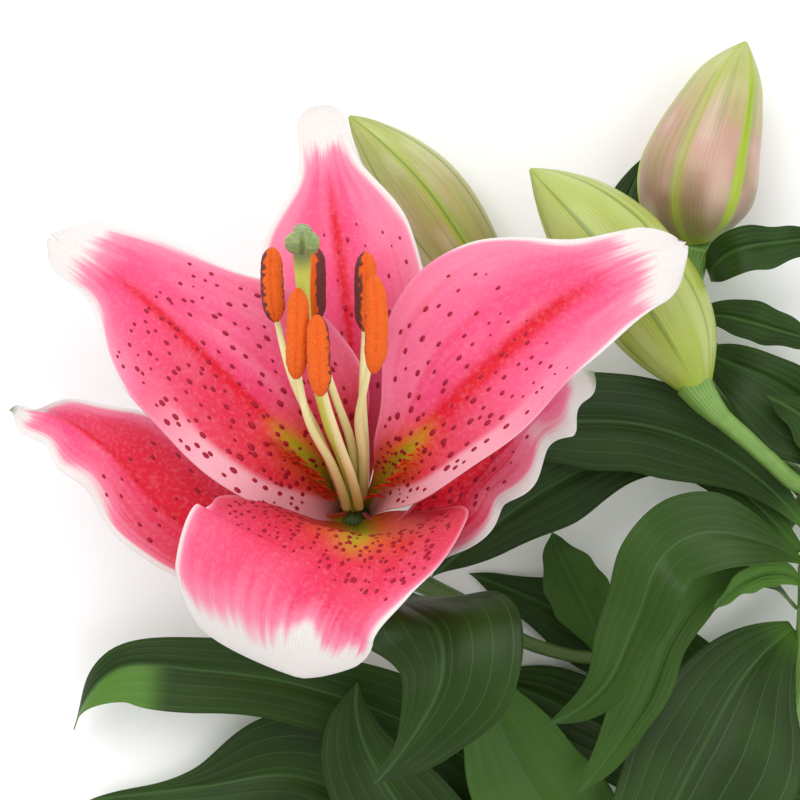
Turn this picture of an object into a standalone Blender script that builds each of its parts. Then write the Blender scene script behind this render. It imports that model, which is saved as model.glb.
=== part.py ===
"""A cut lily lying on a flat surface: one leafy stem with an open flower and three buds.

Lengths in the tables are millimetres. The stem lies along Y with its cut end at -Y, Z is up, and
the origin is on the surface, under the middle of the whole spray.
A sheet (a tepal or a leaf) is a midrib path with half widths to its left and right at equal
steps from base to tip, and a cup angle that bends its cross-section into an arc.
"""
import bpy
import bmesh
import numpy as np

MM = 0.001

TEPAL_THICKNESS = 1.2
LEAF_THICKNESS = 0.8
TEPAL_GRID = (6, 15)          # segments across and along
LEAF_GRID = (4, 11)
BUD_GRID = (14, 12)
ANTHER_GRID = (8, 8)
ROUNDED_TIP = 0.08            # the last part of a sheet's length, where its end rounds off
BLUNT_TIP = 0.17              # the part of its width that a sheet keeps at its very end
LEAST_BEND = 0.0001           # radians; a flatter cross-section is bent this much instead

LEAF_CUP = (20, 12, 5)        # degrees at the base, the middle and the tip

# Each tepal: midrib path, half widths to its left and right, cup angles of the two halves.
TEPALS = {
    "sepal_upper": dict(
        path=[(-43.5, 39.8, 32.2), (-44, 52.5, 49), (-44, 72.5, 64), (-46, 97, 66),
              (-49.5, 121.5, 58), (-53, 149, 40)],
        left=(2.8, 7, 17, 22, 20, 8, 8), right=(2.8, 7, 17, 22, 20, 9, 6.5),
        cup_left=(50, 12, 30), cup_right=(50, 12, 30)),
    "sepal_left": dict(
        path=[(-48, 33, 37.5), (-57, 31, 48), (-72, 30.5, 58), (-90.5, 33.5, 64),
              (-110.5, 53, 60), (-124.5, 62, 50), (-141, 64, 30)],
        left=(4, 10, 15, 14, 12, 9, 1), right=(4, 7, 17, 24, 14, 2.5, 1),
        cup_left=(50, 40, 20), cup_right=(50, 50, 30)),
    "sepal_right": dict(
        path=[(-39, 34, 38), (-30, 29.5, 49), (-18, 37, 59), (-9.5, 47, 63.5), (-2, 56, 66),
              (7, 67, 65), (22, 75, 54)],
        left=(3, 5, 9, 11, 10, 7, 1), right=(4, 8, 12, 13, 12, 11, 4),
        cup_left=(50, 50, 40), cup_right=(50, 35, 0)),
    "petal_left": dict(
        path=[(-47.6, 37, 34.5), (-53.5, 48.5, 58), (-64, 59.5, 74), (-83.5, 79, 80),
              (-103.5, 97, 72), (-126.5, 111.5, 50)],
        left=(2, 5, 14, 21, 19, 9, 8), right=(2, 9, 28, 29, 20, 14, 7),
        cup_left=(70, 30, -10), cup_right=(60, 10, -15)),
    "petal_right": dict(
        path=[(-39.4, 37, 34.5), (-34, 47.5, 58), (-26.5, 56, 74), (-9.5, 73.5, 80), (14, 94, 78),
              (45, 109, 70)],
        left=(2, 4, 10, 30, 28, 12, 7), right=(2, 6, 13, 15, 15, 14, 11),
        cup_left=(60, 10, -15), cup_right=(90, 60, -15)),
    "petal_lower": dict(
        path=[(-43.5, 31.4, 38), (-42, 30, 60), (-43, 30, 84), (-47, 22, 102), (-54, 10, 106),
              (-57, -5.5, 98)],
        left=(2, 8, 26, 30, 19, 17, 11), right=(2, 8, 24, 36, 40, 38, 20), swing=28,
        cup_left=(60, 38, -10), cup_right=(50, 5, -15)),
}

# The stem and the stalks of the flower and the buds: a path and the radii along it.
STALKS = {
    "stem": dict(
        path=[(-24, -168, 4), (1, -141, 7), (26, -114, 12), (49, -89, 17), (66, -61, 20),
              (79, -30, 22), (84.5, -1, 24), (86.3, 22, 25), (86.8, 33, 25), (87, 41, 25),
              (87, 42.5, 25)],
        radii=(4, 4, 4, 3.9, 3.8, 3.6, 3.4, 3.2, 3.0, 4.2, 3.4), points=34),
    "stalk_flower": dict(
        path=[(81.6, 38.6, 23.6), (78, 30, 19), (67, 16, 14), (50, 2, 12), (28, -7, 11), (6, -3, 10.5),
              (-12, 8, 10.5), (-26, 15, 12.5), (-37, 22.5, 20), (-42.8, 31, 30), (-43.4, 34.6, 34.6)],
        radii=(2.2, 2, 1.9, 1.9, 1.9, 2.1, 2.7, 3.8, 4.2), points=24),
    "stalk_upper_bud": dict(
        path=[(87, 45.7, 24.5), (82, 53, 18.5), (70, 59, 15.5), (56.5, 74, 13), (51.5, 93, 12),
              (52.5, 104.5, 13), (53.8, 110.2, 15.2)],
        radii=(2.2, 2, 1.8, 1.8, 2.1, 3.4, 5), points=14),
    "stalk_middle_bud": dict(
        path=[(84.7, 42.4, 28.8), (79.5, 44, 33.5), (73, 49.5, 38), (65, 56.5, 41.5), (57, 63.5, 43),
              (52, 69.6, 42.2)],
        radii=(2.3, 2.4, 2.4, 2.8, 4.6), points=10),
    "stalk_lower_bud": dict(
        path=[(84.8, 43.4, 21.3), (79, 48, 14), (62, 51, 11.5), (41, 58.5, 10), (18, 74, 10),
              (0.7, 91.5, 11.3)],
        radii=(1.9, 1.8, 1.7, 1.7, 2, 3.8), points=16),
    "filament_1": dict(
        path=[(-46.9, 40, 43.8), (-52.3, 56, 71.5), (-59.4, 72.3, 87), (-63, 86, 91.5),
              (-64.3, 95, 93)], radii=(0.8, 0.8, 0.8, 0.6, 0.5), points=9),
    "filament_2": dict(
        path=[(-45.8, 37.2, 47), (-49.1, 49, 72), (-55, 61, 89), (-57.5, 73, 97),
              (-57.7, 82, 103)], radii=(0.8, 0.8, 0.8, 0.6, 0.5), points=9),
    "filament_3": dict(
        path=[(-42.4, 37.4, 47), (-44, 46, 69), (-47.5, 57, 88), (-50.5, 68, 101),
              (-52, 77, 106)], radii=(0.8, 0.8, 0.8, 0.6, 0.5), points=9),
    "filament_4": dict(
        path=[(-43.4, 42.7, 43.4), (-44.4, 56, 68.5), (-48.6, 69, 84), (-52.5, 82, 88.5),
              (-53.5, 94, 89)], radii=(0.8, 0.8, 0.8, 0.6, 0.5), points=9),
    "filament_5": dict(
        path=[(-41.1, 42.2, 41), (-40.6, 54.2, 63), (-41, 67, 79), (-40.5, 82, 86.5),
              (-40, 93, 90)], radii=(0.8, 0.8, 0.8, 0.6, 0.5), points=9),
    "filament_6": dict(
        path=[(-41.5, 40, 43), (-41, 51, 64), (-42, 62, 83), (-39.5, 74, 98),
              (-37.5, 84.5, 104)], radii=(0.8, 0.8, 0.8, 0.6, 0.5), points=9),
    "style": dict(
        path=[(-43.8, 37.4, 38.3), (-44.7, 44.5, 54), (-47.3, 53, 70), (-50.5, 61.5, 81),
              (-55, 81, 94), (-56.3, 96, 101.5), (-56.2, 105.6, 111.5)],
        radii=(1.4, 1.6, 1.5, 1.4, 1.5, 1.7, 2.5), points=14),
}

# A bud: its axis from base to tip, its greatest radius, and its radius at places along it.
BUDS = {
    "bud_upper": dict(
        path=[(54, 112, 16.2), (54.5, 128.5, 17.5), (61, 150, 17), (68, 169.5, 16)],
        radius=17.5, outline=[(0, 0.3), (0.05, 0.58), (0.11, 0.8), (0.18, 0.93), (0.3, 1),
                              (0.5, 0.88), (0.68, 0.71), (0.85, 0.47), (0.95, 0.2), (1, 0.03)]),
    "bud_middle": dict(
        path=[(51.5, 70.5, 42), (42, 89.5, 42), (28, 108.5, 43), (5.5, 131.5, 38)],
        radius=15.5, outline=[(0, 0.3), (0.06, 0.5), (0.15, 0.76), (0.3, 0.98), (0.45, 1),
                              (0.6, 0.97), (0.8, 0.68), (0.92, 0.34), (1, 0.04)]),
    "bud_lower": dict(
        path=[(0, 92.5, 11.6), (-11, 107, 12.3), (-26.5, 128.5, 13.5), (-45.5, 148, 18)],
        radius=12.8, outline=[(0, 0.3), (0.06, 0.5), (0.2, 0.78), (0.4, 0.98), (0.52, 1),
                              (0.7, 0.84), (0.86, 0.5), (0.95, 0.24), (1, 0.04)]),
}

# An anther: its two ends and the height of its middle, which arches over the filament's end.
ANTHERS = {
    "anther_1": dict(path=[(-63.5, 87.5, 96), (-64.5, 97, 97), (-64.5, 107, 96)]),
    "anther_2": dict(path=[(-58, 72.5, 106), (-57.5, 84, 107), (-57.5, 96, 106)]),
    "anther_3": dict(path=[(-51.5, 68, 109), (-52, 78.5, 110), (-52.5, 89, 109)]),
    "anther_4": dict(path=[(-53.5, 87, 92), (-53.5, 97, 93), (-53.5, 107.5, 92)]),
    "anther_5": dict(path=[(-40, 85, 93), (-40, 96, 94), (-40, 106, 93)]),
    "anther_6": dict(path=[(-38, 74, 107), (-37, 86.5, 108), (-38, 99.5, 107)]),
}
ANTHER_RADIUS = 2.6
ANTHER_OUTLINE = [(0, 0.3), (0.1, 0.75), (0.3, 1), (0.7, 1), (0.9, 0.75), (1, 0.3)]
STIGMA = dict(path=[(-56, 106.4, 114.4), (-56, 108.3, 116), (-56, 110.2, 117.6)], radius=4.2)
STIGMA_OUTLINE = [(0, 0.3), (0.2, 0.8), (0.5, 1), (0.8, 0.8), (1, 0.3)]

# Leaves and bracts: midrib path from the stem outwards, half widths to its left and right.
SLIM = (3, 8, 12, 13, 11, 6, 0.5)
LEAVES = {
    "bract_1": dict(
        path=[(58.3, 103.5, 16.5), (60, 107, 25), (66, 110, 30), (79, 112, 28), (100, 114, 24)],
        left=(2, 5, 6, 5, 3.5, 2, 0.5), right=(2, 6, 7, 7, 5, 3, 0.5)),
    "bract_2": dict(
        path=[(55.5, 90, 15), (60, 91, 20), (69, 89, 22), (80, 86, 20), (96, 82, 16)],
        left=(2, 4, 6, 6, 4, 2, 0.5), right=(2, 3, 5, 5, 4, 2, 0.5)),
    "bract_3": dict(
        path=[(57.5, 80, 15.5), (64, 77, 23), (75, 72, 27), (91, 61, 27), (109, 44, 20)],
        left=(2, 6, 7, 8, 8, 5, 0.5), right=(2, 8, 15, 18, 15, 8, 0.5)),
    "bract_4": dict(
        path=[(-33, 14.6, 17.5), (-34, 12, 36), (-30, 12, 58), (-21, 6, 73), (-20, -8, 77),
              (-27, -23, 71), (-38, -38, 58)],
        left=(3, 8, 18, 23, 19, 11, 1), right=(3, 8, 16, 24, 11, 4, 1)),
    "bract_5": dict(
        path=[(27, -3.8, 12), (24, 4, 14), (20, 12, 14.5), (15.5, 21, 14), (12.5, 29, 13)],
        left=(2, 5, 8, 9, 8, 5, 0.5), right=(2, 5, 8, 9, 8, 5, 0.5)),
    "leaf_01": dict(
        path=[(88.2, 33, 20.6), (83, 43, 11), (70, 52, 7), (60, 70, 5), (41, 99, 4),
              (34.5, 119, 1.6), (38, 132, 0.8), (43, 140, 0.6)],
        left=(2, 3, 6, 8, 9, 6, 0.5), right=(2, 3, 6, 8, 9, 6, 0.5)),
    "leaf_02": dict(
        path=[(91.6, 36.8, 27.4), (91, 48, 31), (84.5, 60, 33), (72, 68, 34)],
        left=(2, 4, 6, 7, 6, 4, 0.5), right=(2, 4, 6, 7, 6, 4, 0.5)),
    "leaf_03": dict(
        path=[(81.8, 33, 26), (64, 49.5, 29), (42, 59, 31), (19, 61, 38), (0, 57, 40),
              (-16, 50, 37)],
        left=(1.2, 6, 12, 14, 13, 8, 0.5), right=(1.2, 6, 11, 13, 14, 9, 0.5)),
    "leaf_04": dict(
        path=[(81.2, 25.5, 24.5), (62, 44, 23), (42, 53, 23), (23, 48, 25), (3, 37, 28),
              (-22, 17, 30)],
        left=(1.2, 5, 6, 9, 12, 8, 0.5), right=(1.2, 5, 9, 13, 13, 8, 0.5)),
    "leaf_05": dict(
        path=[(91.6, 21, 25.5), (99, 31, 31), (114, 38.5, 32), (129, 34, 26), (141, 25, 16)],
        left=(1, 6.5, 12, 13, 11, 6, 0.5), right=(1, 8, 12, 13, 11, 6, 0.5)),
    "leaf_06": dict(
        path=[(81.8, 21.5, 27.5), (68, 28.5, 46), (51, 31, 64), (39, 24, 74), (32, 6, 70),
              (24, -11, 66), (9, -22, 58)],
        left=(1.5, 7, 11, 11, 9, 6, 0.5), right=(1.5, 7, 11, 11.5, 9.5, 6, 0.5)),
    "leaf_07": dict(
        path=[(82, 15, 28), (76, 18.5, 35), (66, 17, 43), (56, 9, 48)],
        left=(1, 2.5, 3.5, 4, 3.5, 2, 0.5), right=(1, 2.5, 3.5, 4, 3.5, 2, 0.5)),
    "leaf_08": dict(
        path=[(80, 9, 23), (68, 18, 33), (55, 14, 41), (44, 0, 48), (36, -18, 49),
              (18, -43, 44)],
        left=(2, 4, 5, 5, 5, 4, 0.5), right=(2, 5, 9, 10, 9, 6, 0.5)),
    "leaf_09": dict(
        path=[(79.2, 1, 24.5), (66, -10, 34), (53, -31, 41), (40, -56, 41), (26, -83, 33.5)],
        left=(2.5, 15, 26, 29, 24, 12, 0.5), right=(2.5, 12, 18, 19, 16, 9, 0.5)),
    "leaf_10": dict(
        path=[(88.6, -5, 24), (98, -2, 31), (111, -7, 33), (125, -22, 25), (134, -41, 13)],
        left=SLIM, right=SLIM),
    "leaf_11": dict(
        path=[(74.2, -29, 20), (57, -15.5, 10), (30, -1.5, 5.6), (7, 9.5, 3), (-11, 16.5, 1.5)],
        left=SLIM, right=SLIM),
    "leaf_12": dict(
        path=[(77.6, -47.5, 20.5), (88, -47, 22), (105, -59, 18), (120, -77, 8), (130, -97, 0.6)],
        left=(3, 9, 14, 15, 12, 7, 0.5), right=(3, 9, 14, 15, 12, 7, 0.5)),
    "leaf_13": dict(
        path=[(69, -44, 17.5), (49, -39, 9), (24, -26, 3.2), (4, -17, 1.6), (-15, -14, 1)],
        left=SLIM, right=SLIM),
    "leaf_14": dict(
        path=[(49, -80.5, 17), (15, -58, 15), (-22, -29, 18), (-57, -15, 20), (-88, -10, 20),
              (-112, -10, 17), (-125, -28, 9)],
        left=(3, 9, 12, 12, 11, 8, 1), right=(3, 9, 12, 12, 10, 6, 1)),
    "leaf_15": dict(
        path=[(60.2, -82, 18), (73, -86, 19), (86, -105, 13), (93, -130, 5.5), (95, -151, 0.5)],
        left=SLIM, right=SLIM),
    "leaf_16": dict(
        path=[(46.5, -87, 21.5), (26, -69, 28), (7, -43, 34), (-7, -17, 36), (-17, 0, 34)],
        left=(4, 11, 17, 18, 15, 8, 0.5), right=(4, 11, 17, 18, 15, 8, 0.5)),
    "leaf_17": dict(
        path=[(34.5, -98, 12), (4, -76, 7), (-31, -57, 7), (-60, -42, 8), (-89, -45, 6),
              (-121, -49, 4)],
        left=(3, 9, 13, 14, 12, 8, 0.5), right=(3, 9, 16, 22, 19, 5, 0.5)),
    "leaf_18": dict(
        path=[(22.5, -113, 16), (-3, -83, 24), (-27, -53, 30), (-41, -30, 32), (-43, -13, 28)],
        left=(4, 11, 16, 17, 18, 14, 2), right=(4, 11, 16, 17, 15, 9, 0.5)),
    "leaf_19": dict(
        path=[(9, -125.5, 9.5), (-11, -115, 14), (-34, -117, 11), (-57, -128, 4.5),
              (-73, -142, 0.5)],
        left=SLIM, right=SLIM),
}

# Surfaces: base colour, roughness.
PINK = ((0.85, 0.16, 0.36), 0.55)
LEAF_GREEN = ((0.02, 0.09, 0.025), 0.35)
STEM_GREEN = ((0.24, 0.42, 0.09), 0.5)
BUD_GREEN = ((0.42, 0.5, 0.15), 0.45)
PALE_GREEN = ((0.72, 0.75, 0.42), 0.5)
POLLEN_ORANGE = ((0.85, 0.2, 0.01), 0.9)


def material(name, look):
    """A Principled material with one colour and roughness, and no metal."""
    made = bpy.data.materials.new(name)
    made.use_nodes = True
    shader = made.node_tree.nodes["Principled BSDF"]
    shader.inputs["Base Color"].default_value = (*look[0], 1)
    shader.inputs["Roughness"].default_value = look[1]
    shader.inputs["Metallic"].default_value = 0
    return made


def smooth_path(points, samples=400):
    """Evenly spaced places on a smooth curve through the points, and the directions there.

    The curve is a cubic Hermite spline with centripetal knots."""
    p = np.array(points, float)
    steps = np.sqrt(np.linalg.norm(np.diff(p, axis=0), axis=1))
    knots = np.concatenate([[0], np.cumsum(steps)])
    slopes = np.empty_like(p)
    slopes[1:-1] = (p[2:] - p[:-2]) / (knots[2:] - knots[:-2])[:, None]
    slopes[0] = 2 * (p[1] - p[0]) / steps[0] - slopes[1]
    slopes[-1] = 2 * (p[-1] - p[-2]) / steps[-1] - slopes[-2]
    fine = np.linspace(0, knots[-1], samples)
    i = np.clip(np.searchsorted(knots, fine, side="right") - 1, 0, len(p) - 2)
    h = steps[i][:, None]
    t = (fine - knots[i])[:, None] / h
    curve = p[i] + (p[i + 1] - p[i]) * t * t * (3 - 2 * t)
    curve += h * t * (1 - t) * (slopes[i] * (1 - t) - slopes[i + 1] * t)
    run = np.concatenate([[0], np.cumsum(np.linalg.norm(np.diff(curve, axis=0), axis=1))])
    at = np.linspace(0, run[-1], samples)
    even = np.stack([np.interp(at, run, curve[:, axis]) for axis in range(3)], axis=1)
    along = np.gradient(even, axis=0)
    return even, along / np.linalg.norm(along, axis=1)[:, None]


def at_places(table, s):
    """The rows of an evenly sampled table at places s between 0 and 1."""
    places = np.linspace(0, 1, len(table))
    return np.stack([np.interp(s, places, table[:, axis]) for axis in range(3)], axis=-1)


def eased(places, values, s):
    """A value that goes smoothly through the given values at the given places."""
    x, y = np.array(places, float), np.array(values, float)
    slope = np.gradient(y, x)
    i = np.clip(np.searchsorted(x, s, side="right") - 1, 0, len(x) - 2)
    h = x[i + 1] - x[i]
    t = (s - x[i]) / h
    value = y[i] + (y[i + 1] - y[i]) * t * t * (3 - 2 * t)
    return value + h * t * (1 - t) * (slope[i] * (1 - t) - slope[i + 1] * t)


def base_middle_tip(values, s):
    """A quadratic through the values at the base, the middle and the tip."""
    base, middle, tip = values
    return base * (1 - s) * (1 - 2 * s) + 4 * middle * s * (1 - s) + tip * s * (2 * s - 1)


def unit(vectors):
    return vectors / np.linalg.norm(vectors, axis=-1, keepdims=True)


def sheet_points(shape, s, v):
    """Points of a sheet at s from base (0) to tip (1) and v from left (-1) to right (1).

    The side direction is level and square to the path's chord; at the base it is turned about
    Z by the swing. Across it the cross-section is an arc of the half width, bent by the cup
    angle towards the upper side."""
    table, directions = smooth_path(shape["path"])
    middle, along = at_places(table, s), unit(at_places(directions, s))
    chord = table[-1] - table[0]
    swing = np.radians(shape.get("swing", 0) * (1 - s)**2)
    level = np.stack([chord[1] * np.cos(swing) + chord[0] * np.sin(swing),
                      chord[1] * np.sin(swing) - chord[0] * np.cos(swing), 0 * s], axis=1)
    side = unit(level - np.sum(along * level, axis=1)[:, None] * along)
    upper = np.cross(side, along)
    steps = np.linspace(0, 1, len(shape["left"]))
    half = np.where(v < 0, eased(steps, shape["left"], s), eased(steps, shape["right"], s))
    ending = np.clip((s - 1 + ROUNDED_TIP) / ROUNDED_TIP, 0, 1)
    half *= np.sqrt(1 - (1 - BLUNT_TIP**2) * ending**2)
    cup_left = base_middle_tip(shape.get("cup_left", LEAF_CUP), s)
    cup_right = base_middle_tip(shape.get("cup_right", LEAF_CUP), s)
    bend = np.radians(np.where(v < 0, cup_left, cup_right)) * v
    bend = np.where(np.abs(bend) < LEAST_BEND, LEAST_BEND, bend)
    out = half * v * np.sin(bend) / bend
    lift = half * v * (1 - np.cos(bend)) / bend
    return (middle + out[:, None] * side + lift[:, None] * upper) * MM


def reshape(mesh, shaped):
    """Moves each vertex of the mesh to the point that shaped gives for its place."""
    flat = np.empty(len(mesh.vertices) * 3)
    mesh.vertices.foreach_get("co", flat)
    mesh.vertices.foreach_set("co", shaped(flat.reshape(-1, 3)).ravel())
    mesh.update()


def place(name, data, look):
    """An object with the data and material, in the spray's collection."""
    data.materials.append(look)
    made = bpy.data.objects.new(name, data)
    spray.objects.link(made)
    return made


def add_sheet(name, shape, grid, thickness, look):
    """A tepal or leaf: a flat grid bent into the sheet's shape and given its thickness."""
    mesh = bpy.data.meshes.new(name)
    cage = bmesh.new()
    bmesh.ops.create_grid(cage, x_segments=grid[0], y_segments=grid[1], size=1)
    cage.to_mesh(mesh)
    cage.free()
    reshape(mesh, lambda co: sheet_points(shape, (co[:, 1] + 1) / 2, co[:, 0]))
    mesh.shade_smooth()
    made = place(name, mesh, look)
    wall = made.modifiers.new("thickness", "SOLIDIFY")
    wall.thickness = thickness * MM
    wall.offset = 0
    return made


def add_stalk(name, shape, look):
    """A stem, stalk, filament or style: a round tube along a smooth path."""
    table, _ = smooth_path(shape["path"])
    places = np.linspace(0, 1, shape["points"])
    centres = at_places(table, places) * MM
    radii = np.interp(places, np.linspace(0, 1, len(shape["radii"])), shape["radii"])
    curve = bpy.data.curves.new(name, "CURVE")
    curve.dimensions = "3D"
    curve.bevel_depth = MM
    curve.bevel_resolution = 2
    curve.use_fill_caps = True
    line = curve.splines.new("POLY")
    line.points.add(len(centres) - 1)
    for point, centre, radius in zip(line.points, centres, radii):
        point.co = (*centre, 1)
        point.radius = radius
    return place(name, curve, look)


def add_pod(name, path, radius, outline, grid, look):
    """A bud, anther or stigma: a sphere stretched along a path, with a radius from the outline."""
    mesh = bpy.data.meshes.new(name)
    ball = bmesh.new()
    bmesh.ops.create_uvsphere(ball, u_segments=grid[0], v_segments=grid[1], radius=1)
    ball.to_mesh(mesh)
    ball.free()
    table, directions = smooth_path(path)
    places, widths = zip(*outline)

    def shaped(co):
        s = np.clip((co[:, 2] + 1) / 2, 0, 1)
        along = unit(at_places(directions, s))
        side = unit(np.cross(along, (0, 0, 1)))
        upper = np.cross(side, along)
        round_ = co[:, :2] / np.maximum(np.linalg.norm(co[:, :2], axis=1), 1e-6)[:, None]
        round_[np.abs(co[:, 2]) > 1 - 1e-6] = 0
        reach = radius * eased(places, widths, s)
        offset = round_[:, :1] * side - round_[:, 1:] * upper
        return (at_places(table, s) + reach[:, None] * offset) * MM

    reshape(mesh, shaped)
    mesh.shade_smooth()
    return place(name, mesh, look)


def build():
    pink = material("petal pink", PINK)
    leaf_green = material("leaf green", LEAF_GREEN)
    stem_green = material("stem green", STEM_GREEN)
    bud_green = material("bud green", BUD_GREEN)
    pale_green = material("pale green", PALE_GREEN)
    orange = material("pollen orange", POLLEN_ORANGE)
    for name, shape in TEPALS.items():
        add_sheet(name, shape, TEPAL_GRID, TEPAL_THICKNESS, pink)
    for name, shape in LEAVES.items():
        add_sheet(name, shape, LEAF_GRID, LEAF_THICKNESS, leaf_green)
    for name, shape in STALKS.items():
        inner = name.startswith(("filament", "style"))
        add_stalk(name, shape, pale_green if inner else stem_green)
    for name, shape in BUDS.items():
        add_pod(name, shape["path"], shape["radius"], shape["outline"], BUD_GRID, bud_green)
    for name, shape in ANTHERS.items():
        add_pod(name, shape["path"], ANTHER_RADIUS, ANTHER_OUTLINE, ANTHER_GRID, orange)
    add_pod("stigma", STIGMA["path"], STIGMA["radius"], STIGMA_OUTLINE, ANTHER_GRID, pale_green)


for old in list(bpy.data.objects):
    bpy.data.objects.remove(old, do_unlink=True)
spray = bpy.data.collections.new("cut lily")
bpy.context.scene.collection.children.link(spray)
build()
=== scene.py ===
"""A cut lily lying on a pale surface: one open flower, three buds, and a leafy stem.

The file is laid out as a Blender add-on and is run as a script. Lengths in the tables are
millimetres, in the frame's own axes: the stem lies along Y, Z is up, and the surface is at 0.
"""

import bpy
import numpy as np
from bpy.props import FloatProperty, FloatVectorProperty, PointerProperty
from bpy.types import Operator, Panel, PropertyGroup
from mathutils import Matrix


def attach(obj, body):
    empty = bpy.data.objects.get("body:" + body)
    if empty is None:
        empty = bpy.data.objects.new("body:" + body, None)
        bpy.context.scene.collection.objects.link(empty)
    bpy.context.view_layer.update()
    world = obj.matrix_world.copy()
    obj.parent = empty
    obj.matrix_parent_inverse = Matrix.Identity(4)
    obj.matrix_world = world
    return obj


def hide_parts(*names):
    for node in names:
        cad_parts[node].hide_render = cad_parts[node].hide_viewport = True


bl_info = {
    "name": "Cut Lily",
    "version": (1, 0, 0),
    "blender": (4, 5, 0),
    "location": "3D View > Sidebar > Lily",
    "description": "Grows an open spotted lily with its buds, stalks and leaves",
    "category": "Add Mesh",
}

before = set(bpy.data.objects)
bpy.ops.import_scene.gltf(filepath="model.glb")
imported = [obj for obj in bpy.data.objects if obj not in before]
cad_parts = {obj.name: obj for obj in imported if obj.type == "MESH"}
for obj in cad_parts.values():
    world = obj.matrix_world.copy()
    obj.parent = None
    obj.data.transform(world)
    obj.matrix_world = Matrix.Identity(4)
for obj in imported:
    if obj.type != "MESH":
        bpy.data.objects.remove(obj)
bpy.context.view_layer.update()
MM = 0.001
SPRAY = "root"
FLOOR_REACH = 4.0
EYE = (-0.031, 0.067)
SENSOR_WIDTH = 36



def blade(path, left, right=None, **more):
    """A sheet's midrib path and its half widths at even steps; one side may serve for both."""
    return dict(path=path, left=left, right=right or left, **more)


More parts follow.
